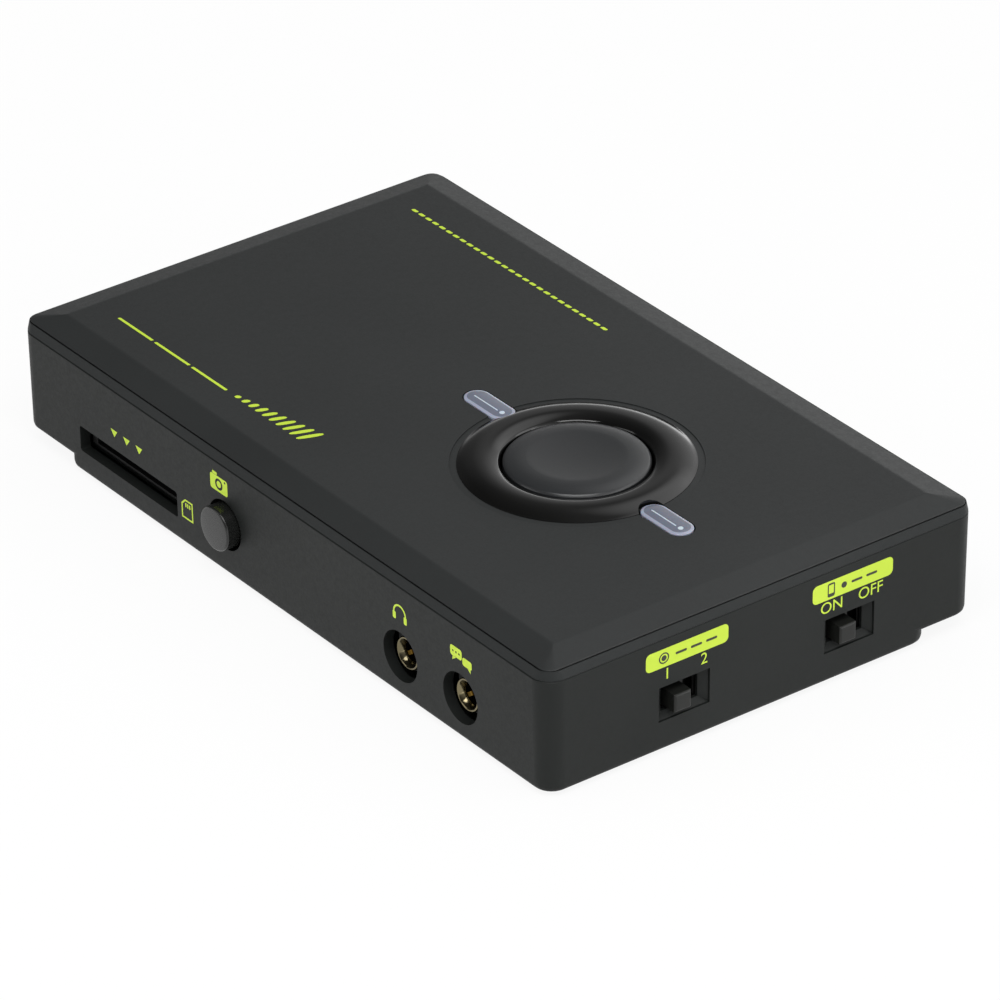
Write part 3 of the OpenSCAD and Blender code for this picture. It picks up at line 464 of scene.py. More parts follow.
class Workshop:
    """Makes meshes, and gives each piece its body, finish and the node that it stands for."""

    def __init__(self, layout: Layout) -> None:
        """Keep the layout and build the shared shader groups."""
        self.layout = layout
        self.groups = SkinGroups()

    @staticmethod
    def drop(made: bpy.types.Object) -> None:
        """Remove a helper object and its mesh.

        Args:
            made: The helper.
        """
        mesh = made.data
        bpy.data.objects.remove(made)
        bpy.data.meshes.remove(mesh)

    def from_bmesh(self, name: str, bm: bmesh.types.BMesh, weld: float = 1e-7) -> bpy.types.Object:
        """Close a working mesh into an object with its faces outwards.

        Args:
            name: Name of the piece.
            bm: The working mesh, which is freed.
            weld: Points closer than this are merged, in metres.

        Returns:
            The new object.
        """
        bmesh.ops.remove_doubles(bm, verts=bm.verts, dist=weld)
        bmesh.ops.recalc_face_normals(bm, faces=bm.faces)
        return add_object(name, to_mesh(name, bm))

    def bake(self, made: bpy.types.Object) -> bpy.types.Object:
        """Apply a piece's modifiers to a plain mesh.

        Args:
            made: The piece.

        Returns:
            The same piece.
        """
        graph = bpy.context.evaluated_depsgraph_get()
        graph.update()
        mesh = bpy.data.meshes.new_from_object(made.evaluated_get(graph), preserve_all_data_layers=True,
                                               depsgraph=graph)
        old = made.data
        made.modifiers.clear()
        made.data = mesh
        mesh.name = made.name
        if not old.users:
            bpy.data.meshes.remove(old)
        return made

    def shade(self, made: bpy.types.Object, angle: float) -> bpy.types.Object:
        """Shade a piece smooth, with edges over an angle left crisp and large faces kept flat.

        Args:
            made: The piece.
            angle: Least angle of a crisp edge, in degrees.

        Returns:
            The same piece.
        """
        made.data.shade_smooth()
        made.data.set_sharp_from_angle(angle=math.radians(angle))
        weighted = made.modifiers.new("large_faces_flat", "WEIGHTED_NORMAL")
        weighted.mode = "FACE_AREA"
        weighted.weight = FLAT_WEIGHT
        weighted.keep_sharp = True
        return self.bake(made)

    def revolve(self, name: str, profile: Sequence[Point], at: Vector, steps: int,
                axis: Axis = Axis.UP) -> bpy.types.Object:
        """Turn a profile into a solid of revolution.

        Args:
            name: Name of the piece.
            profile: Radius and height of each point, in millimetres; a closed loop where no radius is 0.
            at: Place of the profile's origin.
            steps: Number of steps round the axis.
            axis: Axis that it is turned about.

        Returns:
            The turned piece.
        """
        bm = bmesh.new()
        rings: list[list[bmesh.types.BMVert]] = []
        for radius, height in profile:
            ring = []
            for step in range(1 if radius == 0 else steps):
                turn = 2 * math.pi * step / steps
                across, side = radius * math.cos(turn), radius * math.sin(turn)
                local = (across, side, height) if axis is Axis.UP else (across, height, side)
                ring.append(bm.verts.new(at + Vector(local) * MM))
            rings.append(ring)
        pairs = list(zip(rings, rings[1:]))
        if profile[0][0] and profile[-1][0]:
            pairs.append((rings[-1], rings[0]))
        for one, two in pairs:
            for step in range(steps):
                nxt = (step + 1) % steps
                corners = [one[step % len(one)], one[nxt % len(one)],
                           two[nxt % len(two)], two[step % len(two)]]
                face = list(dict.fromkeys(corners))
                if len(face) > 2:
                    bm.faces.new(face)
        return self.from_bmesh(name, bm)

    def loft(self, name: str, loops: Sequence[Sequence[Vector]]) -> bpy.types.Object:
        """Join closed loops of equally many points into one solid, with flat ends.

        Args:
            name: Name of the piece.
            loops: The loops in order, in metres.

        Returns:
            The lofted piece.
        """
        bm = bmesh.new()
        rows = [[bm.verts.new(point) for point in loop] for loop in loops]
        for one, two in zip(rows, rows[1:]):
            for index in range(len(one)):
                nxt = (index + 1) % len(one)
                bm.faces.new((one[index], one[nxt], two[nxt], two[index]))
        bm.faces.new(list(reversed(rows[0])))
        bm.faces.new(rows[-1])
        return self.from_bmesh(name, bm)

    def cut(self, made: bpy.types.Object, cutter: bpy.types.Object) -> None:
        """Cut one piece out of another, and drop the cutter.

        Args:
            made: The piece that is cut.
            cutter: The piece that is cut out.
        """
        difference = made.modifiers.new("cut", "BOOLEAN")
        difference.operation = "DIFFERENCE"
        difference.solver = "EXACT"
        difference.object = cutter
        self.bake(made)
        self.drop(cutter)

    @staticmethod
    def stadium(middle: Vector, half: float, radius: float, z: float) -> list[Vector]:
        """Loop with round ends about a middle.

        Args:
            middle: Middle of the loop, in metres.
            half: Half the distance between the centres of its ends, along X, in millimetres.
            radius: Radius of its ends, in millimetres.
            z: Height over the middle, in millimetres.

        Returns:
            The loop's points, in metres.
        """
        points = []
        for end, start in ((1, -90), (-1, 90)):
            for i in range(END_STEPS + 1):
                turn = math.radians(start + 180 * i / END_STEPS)
                local = Vector((end * half + radius * math.cos(turn), radius * math.sin(turn), z))
                points.append(middle + local * MM)
        return points

    def copy_of(self, node: str, name: str) -> bpy.types.Object:
        """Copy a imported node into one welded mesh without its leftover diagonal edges.

        Args:
            node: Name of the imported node.
            name: Name of the new piece.

        Returns:
            The welded copy.
        """
        source = self.layout.nodes[node].data
        bm = bmesh.new()
        verts = [bm.verts.new(v.co) for v in source.vertices]
        for polygon in source.polygons:
            bm.faces.new([verts[i] for i in polygon.vertices])
        bmesh.ops.remove_doubles(bm, verts=bm.verts, dist=COPY_WELD)
        bmesh.ops.dissolve_limit(bm, angle_limit=math.radians(COPY_FLAT), verts=bm.verts, edges=bm.edges)
        return add_object(name, to_mesh(name, bm))

    def round_edges(self, made: bpy.types.Object, width: float, segments: int,
                    pick: Callable[[bmesh.types.BMEdge, float], float]) -> bpy.types.Object:
        """Round chosen edges of a piece.

        Args:
            made: The piece.
            width: Widest rounding, in millimetres.
            segments: Steps across each rounding.
            pick: Gives an edge's share of the width, from the edge and its angle in degrees.

        Returns:
            The same piece.
        """
        bm = bmesh.new()
        bm.from_mesh(made.data)
        layer = bm.edges.layers.float.new("bevel_weight_edge")
        for edge in bm.edges:
            if len(edge.link_faces) == 2:
                edge[layer] = pick(edge, math.degrees(edge.calc_face_angle(0.0)))
        bm.to_mesh(made.data)
        bm.free()
        bevel = made.modifiers.new("rounded_edges", "BEVEL")
        bevel.limit_method = "WEIGHT"
        bevel.width = width * MM
        bevel.segments = segments
        bevel.use_clamp_overlap = False
        return self.bake(made)

    def filled(self, name: str, loops: Sequence[Loop], thickness: float) -> bpy.types.Object:
        """Fill flat loops into a thin plate; a loop inside another is a hole.

        Args:
            name: Name of the piece.
            loops: Closed loops of points, in millimetres.
            thickness: Thickness of the plate, in millimetres.

        Returns:
            The plate, lying on its own flat plane in millimetres.
        """
        curve = bpy.data.curves.new(name, "CURVE")
        curve.dimensions = "2D"
        curve.fill_mode = "BOTH"
        curve.extrude = thickness / 2
        for loop in loops:
            spline = curve.splines.new("POLY")
            spline.points.add(len(loop) - 1)
            for point, (u, v) in zip(spline.points, loop):
                point.co = (u, v, 0.0, 1.0)
            spline.use_cyclic_u = True
        return self._meshed(name, curve)

    def lettered(self, name: str, words: Sequence[tuple[str, float, float]], size: float,
                 thickness: float) -> bpy.types.Object:
        """Set short plain marks, such as numbers, in the built-in typeface.

        Args:
            name: Name of the piece.
            words: Each mark with the place of its middle, in millimetres.
            size: Height of the type, in millimetres.
            thickness: Thickness of the plate, in millimetres.

        Returns:
            The marks, lying on their own flat plane in millimetres.
        """
        bm = bmesh.new()
        for number, (body, u, v) in enumerate(words):
            text = bpy.data.curves.new(f"{name}_{number}", "FONT")
            text.body = body
            text.size = size
            text.align_x = text.align_y = "CENTER"
            text.extrude = thickness / 2
            one = self._meshed(f"{name}_{number}", text)
            one.data.transform(Matrix.Translation((u, v, 0.0)))
            bm.from_mesh(one.data)
            self.drop(one)
        return self.from_bmesh(name, bm, FLAT_WELD)

    def _meshed(self, name: str, curve: bpy.types.Curve) -> bpy.types.Object:
        """Turn a flat curve or text into a welded mesh object.

        Args:
            name: Name of the piece.
            curve: The curve, which is removed.

        Returns:
            The new object.
        """
        holder = add_object(name + "_outline", curve)
        graph = bpy.context.evaluated_depsgraph_get()
        graph.update()
        mesh = bpy.data.meshes.new_from_object(holder.evaluated_get(graph))
        bpy.data.objects.remove(holder)
        bpy.data.curves.remove(curve)
        bm = bmesh.new()
        bm.from_mesh(mesh)
        bpy.data.meshes.remove(mesh)
        return self.from_bmesh(name, bm, FLAT_WELD)

    def lay(self, made: bpy.types.Object, face: Callable[[float, float, float], Vector]) -> bpy.types.Object:
        """Lay a flat plate from its own millimetre plane onto a face of the box.

        Args:
            made: The plate.
            face: Gives the place on the face for each point of the plane.

        Returns:
            The same plate.
        """
        for vertex in made.data.vertices:
            vertex.co = face(*vertex.co)
        made.data.update()
        bm = bmesh.new()
        bm.from_mesh(made.data)
        bmesh.ops.recalc_face_normals(bm, faces=bm.faces)
        bm.to_mesh(made.data)
        bm.free()
        return made

    def finish_piece(self, made: bpy.types.Object, finish: Finish, slot: str, body: Body = Body.CASE,
                     stands_for: Sequence[str] = ()) -> bpy.types.Object:
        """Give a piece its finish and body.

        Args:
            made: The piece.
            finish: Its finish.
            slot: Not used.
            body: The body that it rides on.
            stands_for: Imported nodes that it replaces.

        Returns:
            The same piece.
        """
        made.data.materials.clear()
        made.data.materials.append(finish.material(self.groups))
        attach(made, body.value)
        if stands_for:
            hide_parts(*stands_for)
        LOG.info("%s: %d faces, %s", made.name, len(made.data.polygons), finish.name)
        return made


def circle(u: float, v: float, radius: float, steps: int = 40) -> Loop:
    """Points round a circle."""
    turns = [2 * math.pi * i / steps for i in range(steps)]
    return [(u + radius * math.cos(turn), v + radius * math.sin(turn)) for turn in turns]


def rounded(u: float, v: float, wide: float, high: float, radius: float, steps: int = 6) -> Loop:
    """Points round a rectangle with round corners.

    Args:
        u: Middle of the rectangle, along it.
        v: Middle of the rectangle, up it.
        wide: Its width.
        high: Its height.
        radius: Radius of its corners.
        steps: Steps round each corner.

    Returns:
        The loop of points.
    """
    points: Loop = []
    for sx, sy, start in ((1, 1, 0), (-1, 1, 90), (-1, -1, 180), (1, -1, 270)):
        for i in range(steps + 1):
            turn = math.radians(start + 90 * i / steps)
            points.append((u + sx * (wide / 2 - radius) + radius * math.cos(turn),
                           v + sy * (high / 2 - radius) + radius * math.sin(turn)))
    return points


def half_ring(u: float, v: float, outer: float, inner: float, steps: int = 32) -> Loop:
    """Points round the upper half of a ring.

    Args:
        u: Middle of the ring, along.
        v: Middle of the ring, up.
        outer: Its outer radius.
        inner: Its inner radius.
        steps: Steps round each edge.

    Returns:
        The loop of points.
    """
    turns = [math.radians(180 * i / steps) for i in range(steps + 1)]
    return ([(u + outer * math.cos(t), v + outer * math.sin(t)) for t in turns]
            + [(u + inner * math.cos(t), v + inner * math.sin(t)) for t in reversed(turns)])


def moved(loop: Loop, u: float, v: float) -> Loop:
    """The same loop, moved."""
    return [(a + u, b + v) for a, b in loop]


@dataclass
class CaseShell:
    """The tub and its lid, with the lid's rim rolled and its crease eased as a mould leaves them."""

    shop: Workshop
    corner_r: float = 3.8
    wall: float = 2.2
    relief: float = 0.2
    corner_fall: float = 2.0
    corner_min: float = 0.06
    corner_steps: int = 10
    seam: float = 0.07
    seam_in: float = 0.04
    rim_h: float = 1.7
    rim_in: float = 0.57
    rim_drop: float = 0.12
    rim_top: float = 0.06
    rim_ease: Point = (0.01, 0.03)
    gap_w: float = 0.24
    gap_d: float = 0.32
    painted_shade_from: float = 0.04
    plate_roll: float = 0.13
    roll_steps: int = 5
    bevel_w: float = 5.3
    crease: float = 0.35
    crease_steps: int = 6
    cut_d: float = 6.0
    cut_over: float = 2.0
    well_r: float = 14.25
    recess_r: float = 20.6
    recess_d: float = 0.21
    bar_mid: float = 23.4
    slot_half: float = 3.3
    slot_r: float = 2.45
    tub: bpy.types.Object | None = None
    lid: bpy.types.Object | None = None

    def build(self) -> None:
        """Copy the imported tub, loft the lid and cut its openings."""
        shop, button, over = self.shop, self.shop.layout.button, self.cut_over
        self.tub = shop.shade(shop.copy_of("bottom_case", "case_tub"), CRISP_SHELL)
        lid = shop.loft("case_lid", [self._outline(inset, z) for inset, z in self._section()])
        for radius, depth in ((self.well_r, self.cut_d), (self.recess_r, self.recess_d)):
            section = [(0.0, -depth), (radius, -depth), (radius, over), (0.0, over)]
            shop.cut(lid, shop.revolve("well_cutter", section, button, RING_STEPS))
        for side in (-1, 1):
            middle = button + Vector((side * self.bar_mid * MM, 0.0, 0.0))
            loops = [shop.stadium(middle, self.slot_half, self.slot_r, z) for z in (-self.cut_d, over)]
            shop.cut(lid, shop.loft("slot_cutter", loops))
        self.lid = shop.shade(lid, CRISP_SHELL)

    def _section(self) -> list[Point]:
        """Section of the lid: underside, seam, rim, gap, the plate's rolled edge, bevel and crease.

        Returns:
            Inset and height over the parting line of each loop, in millimetres, from below to the top.
        """
        crown = (self.shop.layout.top - self.shop.layout.part) / MM - self.rim_h
        slope = crown / self.bevel_w
        ledge, inner = self.rim_h - self.rim_drop, self.rim_in + self.rim_top
        lean = (self.rim_in - self.seam_in) / (ledge - self.seam)
        ease_in, ease_down = self.rim_ease
        edge, roll = inner + self.gap_w, self.plate_roll
        rows: list[Point] = [
            (self.wall, self.relief), (self.wall, 0.0), (self.seam_in + self.seam, 0.0),
            (self.seam_in, self.seam), (self.rim_in - self.rim_drop * lean, ledge - self.rim_drop),
            (self.rim_in - ease_in, ledge - ease_down), (inner, ledge), (inner, ledge - self.gap_d),
            (edge, ledge - self.gap_d),
        ]
        corner = self.rim_h + slope * (edge - self.rim_in)
        for i in range(self.roll_steps + 1):
            t = i / self.roll_steps
            rows.append((edge + roll * t ** 2, corner - roll * (1 - t) ** 2 + slope * roll * t ** 2))
        fold = self.rim_in + self.bevel_w
        for i in range(self.crease_steps + 1):
            inset = fold - self.crease + 2 * self.crease * i / self.crease_steps
            left = fold + self.crease - inset
            rows.append((inset, self.rim_h + crown - slope * left ** 2 / (4 * self.crease)))
        return rows

    def _outline(self, inset: float, z: float) -> list[Vector]:
        """Loop round the case at one height.

        Args:
            inset: How far it is set in from the walls, in millimetres.
            z: Height over the parting line, in millimetres.

        Returns:
            The loop's points, in metres.
        """
        layout = self.shop.layout
        radius = max(self.corner_r - self.corner_fall * inset, self.corner_min)
        wide, high = (2 * (layout.half[i] / MM - inset) for i in (0, 1))
        start = Vector((layout.centre.x, layout.centre.y, layout.part + z * MM))
        loop = rounded(0.0, 0.0, wide, high, radius, self.corner_steps)
        return [start + Vector((u, v, 0.0)) * MM for u, v in loop]

    def dress(self) -> None:
        """Give both shells their moulded plastic."""
        self.shop.finish_piece(self.tub, CASE_PLASTIC, "case_plastic", stands_for=["bottom_case"])
        self.shop.finish_piece(self.lid, LID_PLASTIC, "lid_plastic", stands_for=["top_cover"])
        self._rim_and_painted_shade()

    def _rim_and_painted_shade(self) -> None:
        """Give the lid's rim a duller plastic than its plate, and paint shade in black plastic onto the faces in
        the narrow gap inside it and under the plate.
        """
        layout = self.shop.layout
        rim_slot, shade_slot = 1, 2
        for finish in (RIM_PLASTIC, BLACK_PLASTIC):
            self.lid.data.materials.append(finish.material(self.shop.groups))
        for face in self.lid.data.polygons:
            beyond = [abs(face.center[i] - layout.centre[i]) / MM - layout.half[i] / MM + self.corner_r
                      for i in (0, 1)]
            inset = self.corner_r - math.hypot(*(max(b, 0.0) for b in beyond)) - min(max(beyond), 0.0)
            if (face.center.z - layout.part) / MM < self.rim_h - self.rim_drop / 2:
                # Painted shade: black plastic on the faces in the gap and under the plate, where shade falls.
                face.material_index = shade_slot if inset > self.rim_in + self.painted_shade_from else rim_slot


@dataclass
class RecordButton:
    """The large push button in its glossy ring, between two light bars."""

    shop: Workshop
    ring_r: float = 19.4
    seat: float = 1.2
    seat_d: float = 0.07
    seat_ease: float = 0.02
    matte_from: float = 0.05
    crest_r: float = 15.3
    crest_h: float = 1.1
    arch_r: float = 8.2
    arch_in: float = 5.2
    arch_low: float = 0.03
    arch_steps: int = 32
    well_r: float = 12.4
    lip: float = 0.3
    lip_roll: tuple[Point, ...] = ((0.0, -0.36), (0.02, -0.29), (0.27, -0.045))
    sleeve_t: float = 1.5
    sleeve_h: float = 6.0
    cap_r: float = 12.0
    cap_h: float = 1.2
    cap_fall: float = 0.55
    cap_edge: float = 0.4
    cap_roll: tuple[Point, ...] = ((-0.35, -0.035), (-0.03, -0.4), (0.0, -0.48))
    cap_slack: float = 0.45
    cap_t: float = 1.6
    fall_bend: float = 2.4
    fall_steps: int = 14
    dish_r: float = 8.1
    dish_d: float = 0.4
    dish_steps: int = 12
    flange_out: float = 1.6
    flange_t: float = 1.0
    stem_r: float = 2.4
    bar_w: float = 4.5
    bar_l: float = 11.0
    bar_r: float = 17.9
    bar_up: float = 0.1
    bar_dome: float = 0.3
    bar_roll: float = 0.12
    roll_turn: float = 70.0
    roll_steps: int = 4
    dome_in: float = 0.1
    dome_tip: float = 0.002
    dome_steps: int = 16
    rib_out: float = 0.8
    rib_low: float = 1.0
    rib_up: float = 0.2
    notch_gap: float = 0.35
    notch_z: Point = (-0.5, 3.0)
    glint_u: float = -0.35
    glint_v: float = -0.45
    glint_short: float = 0.2
    glint_w: float = 0.22
    glint_r: float = 0.1
    dot_u: float = 0.55
    dot_v: float = 0.15
    dot_r: float = 0.46
    film: float = 0.03
    rim_w: float = 0.5
    ring: bpy.types.Object | None = None
    cap: bpy.types.Object | None = None
    bars: dict[str, bpy.types.Object] = field(default_factory=dict)
    glints: dict[str, bpy.types.Object] = field(default_factory=dict)

    def build(self) -> None:
        """Turn the ring and the cap, and loft the bars."""
        shop, at = self.shop, self.shop.layout.button
        ring = shop.revolve("button_ring", self._ring_profile(), at, RING_STEPS)
        for side in (-1, 1):
            self._notch(ring, side)
        self.ring = shop.shade(ring, CRISP_TURNED)
        cap = shop.revolve("button_cap", self._cap_profile(), at, CAP_STEPS)
        self.cap = shop.shade(cap, CRISP_TURNED)
        for side, name in ((-1, "left"), (1, "right")):
            self.bars[name] = shop.shade(self._bar(side, name), CRISP_LENS)
            self.glints[name] = self._glint(side, name)

    def _ring_profile(self) -> list[Point]:
        """Closed section of the ring: an arch with a rolled lip, on a thin flange and a sleeve.

        Returns:
            Radius and height of each point, in millimetres.
        """
        def arch(radius: float) -> float:
            """Height of the arch at a radius."""
            bend = self.arch_in if radius < self.crest_r else self.arch_r
            return max(self.crest_h - bend + math.sqrt(bend ** 2 - (radius - self.crest_r) ** 2), self.arch_low)

        inner, outer, lip = self.well_r, self.ring_r, self.lip
        points: list[Point] = [(inner, -self.sleeve_h)]
        points += [(inner + out, arch(inner + lip) + rise) for out, rise in self.lip_roll]
        for i in range(self.arch_steps + 1):
            radius = inner + lip + (outer - inner - lip) * i / self.arch_steps
            points.append((radius, arch(radius)))
        foot, sleeve, low = outer + self.seat - self.seat_ease, inner + self.sleeve_t, self.seat_d
        return points + [(outer + self.seat_ease, -low), (foot, -2 * low), (foot, -3 * low),
                         (sleeve, -3 * low), (sleeve, -self.sleeve_h)]

    def _cap_profile(self) -> list[Point]:
        """Section of the cap: a dish, a falling shoulder, the rolled edge, the skirt, its flange and the stem.

        Returns:
            Radius and height of each point, in millimetres.
        """
        bottom, rim = self.cap_h - self.dish_d, self.cap_r - self.cap_edge
        points: list[Point] = []
        for i in range(self.dish_steps + 1):
            share = i / self.dish_steps
            points.append((self.dish_r * share, bottom + self.dish_d * share ** 2))
        for i in range(1, self.fall_steps + 1):
            share = i / self.fall_steps
            points.append((self.dish_r + (rim - self.dish_r) * share,
                           self.cap_h - self.cap_fall * share ** self.fall_bend))
        top = self.cap_h - self.cap_fall
        points += [(self.cap_r + out, top + rise) for out, rise in self.cap_roll]
        low, flange = -self.sleeve_h - self.cap_slack, self.cap_r + self.flange_out
        inside, under, end = self.cap_r - self.sleeve_t, bottom - self.cap_t, self._stem_end()
        return points + [(self.cap_r, low), (flange, low), (flange, low - self.flange_t),
                         (inside, low - self.flange_t), (inside, under), (self.stem_r, under),
                         (self.stem_r, end), (0.0, end)]

    def _stem_end(self) -> float:
        """Height of the stem's foot under the lid's top, where it meets its plunger."""
        return (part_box("record_plunger")[1].z - self.shop.layout.top) / MM

    def _middle(self, side: int) -> Vector:
        """Middle of a light bar, on the lid's top."""
        return self.shop.layout.button + Vector((side * (self.bar_r + self.bar_l / 2) * MM, 0.0, 0.0))

    @property
    def _half(self) -> float:
        """Half the distance between the centres of a bar's round ends, in millimetres."""
        return (self.bar_l - self.bar_w) / 2

    def _dome(self, out: float) -> float:
        """Height of a bar's dome over the lid's top, at a distance from its middle line, in millimetres."""
        bend = ((self.bar_w / 2) ** 2 + self.bar_dome ** 2) / (2 * self.bar_dome)
        return self.bar_up + self.bar_dome - bend + math.sqrt(bend ** 2 - out ** 2)

    def _notch(self, ring: bpy.types.Object, side: int) -> None:
        """Cut the notch for one light bar out of the ring.

        Args:
            ring: The ring.
            side: -1 for the left bar, 1 for the right one.
        """
        radius = self.bar_w / 2 + self.notch_gap
        loops = [self.shop.stadium(self._middle(side), self._half, radius, z) for z in self.notch_z]
        self.shop.cut(ring, self.shop.loft("notch_cutter", loops))

    def _bar(self, side: int, name: str) -> bpy.types.Object:
        """Loft one bar: a rib under the lid, straight sides, a rolled edge and a long dome.

        Args:
            side: -1 for the left bar, 1 for the right one.
            name: Name of the side.

        Returns:
            The bar.
        """
        wide, roll, rib = self.bar_w / 2, self.bar_roll, self.bar_w / 2 + self.rib_out
        base = (self.shop.layout.part - self.shop.layout.top) / MM
        edge = self.bar_up - roll
        rows: list[Point] = [(rib, base - self.rib_low), (rib, base + self.rib_up),
                             (wide, base + self.rib_up), (wide, edge)]
        for i in range(1, self.roll_steps + 1):
            turn = math.radians(self.roll_turn * i / self.roll_steps)
            rows.append((wide - roll * (1 - math.cos(turn)), edge + roll * math.sin(turn)))
        for i in range(1, self.dome_steps + 1):
            radius = (wide - self.dome_in) * (1 - i / self.dome_steps)
            rows.append((max(radius, self.dome_tip), self._dome(radius)))
        loops = [self.shop.stadium(self._middle(side), self._half, radius, z) for radius, z in rows]
        return self.shop.loft(f"light_bar_{name}_lens", loops)

    def _glint(self, side: int, name: str) -> bpy.types.Object:
        """Make the painted highlight that runs along a bar's dome: a pale line with a dot at its right end.

        Args:
            side: -1 for the left bar, 1 for the right one.
            name: Name of the side.

        Returns:
            The line and its dot, as one thin film.
        """
        middle, half = self._middle(side), self._half

        def on_dome(u: float, v: float, lift: float) -> Vector:
            """Point over the bar's dome, from its middle, in millimetres."""
            beyond = max(abs(u) - half, 0.0)
            return middle + Vector((u, v, self._dome(math.hypot(v, beyond)) + lift)) * MM

        line = rounded(self.glint_u, self.glint_v, 2 * half - self.glint_short, self.glint_w, self.glint_r)
        dot = circle(half + self.dot_u, self.glint_v + self.dot_v, self.dot_r, DOT_STEPS)
        film = self.shop.filled(f"light_bar_{name}_glint", [line, dot], self.film)
        return self.shop.lay(film, on_dome)

    def dress(self) -> None:
        """Polish the ring, give the cap its satin and the bars their milky plastic, with painted edge light on
        their rims and a painted highlight along each dome.
        """
        self.shop.finish_piece(self.ring, RING_GLOSS, "gloss_black", stands_for=["button_bezel"])
        self._matte_flange()
        self.shop.finish_piece(self.cap, CAP_SATIN, "cap_plastic", Body.RECORD, ["record_button"])
        for name, bar in self.bars.items():
            self.shop.finish_piece(bar, LIGHT_GUIDE, "light_guide", stands_for=[f"light_bar_{name}"])
            self._painted_edge_light(bar, -1 if name == "left" else 1)
            self.shop.finish_piece(self.glints[name], PAINTED_BAR_HIGHLIGHT, "light_guide")

    def _matte_flange(self) -> None:
        """Give the ring's thin flange the matte finish of the lid round it."""
        self.ring.data.materials.append(LID_PLASTIC.material(self.shop.groups))
        at = self.shop.layout.button
        for face in self.ring.data.polygons:
            face.material_index = int((face.center - at).xy.length > (self.ring_r + self.matte_from) * MM)

    def _painted_edge_light(self, bar: bpy.types.Object, side: int) -> None:
        """Paint the rim of a bar paler, as painted edge light standing in for the light that its edges catch.

        Args:
            bar: The bar.
            side: -1 for the left bar, 1 for the right one.
        """
        bar.data.materials.append(PAINTED_EDGE_LIGHT.material(self.shop.groups))
        middle = self._middle(side)
        for face in bar.data.polygons:
            place = (face.center - middle) / MM
            out = math.hypot(max(abs(place.x) - self._half, 0.0), place.y)
            face.material_index = int(out > self.bar_w / 2 - self.rim_w)


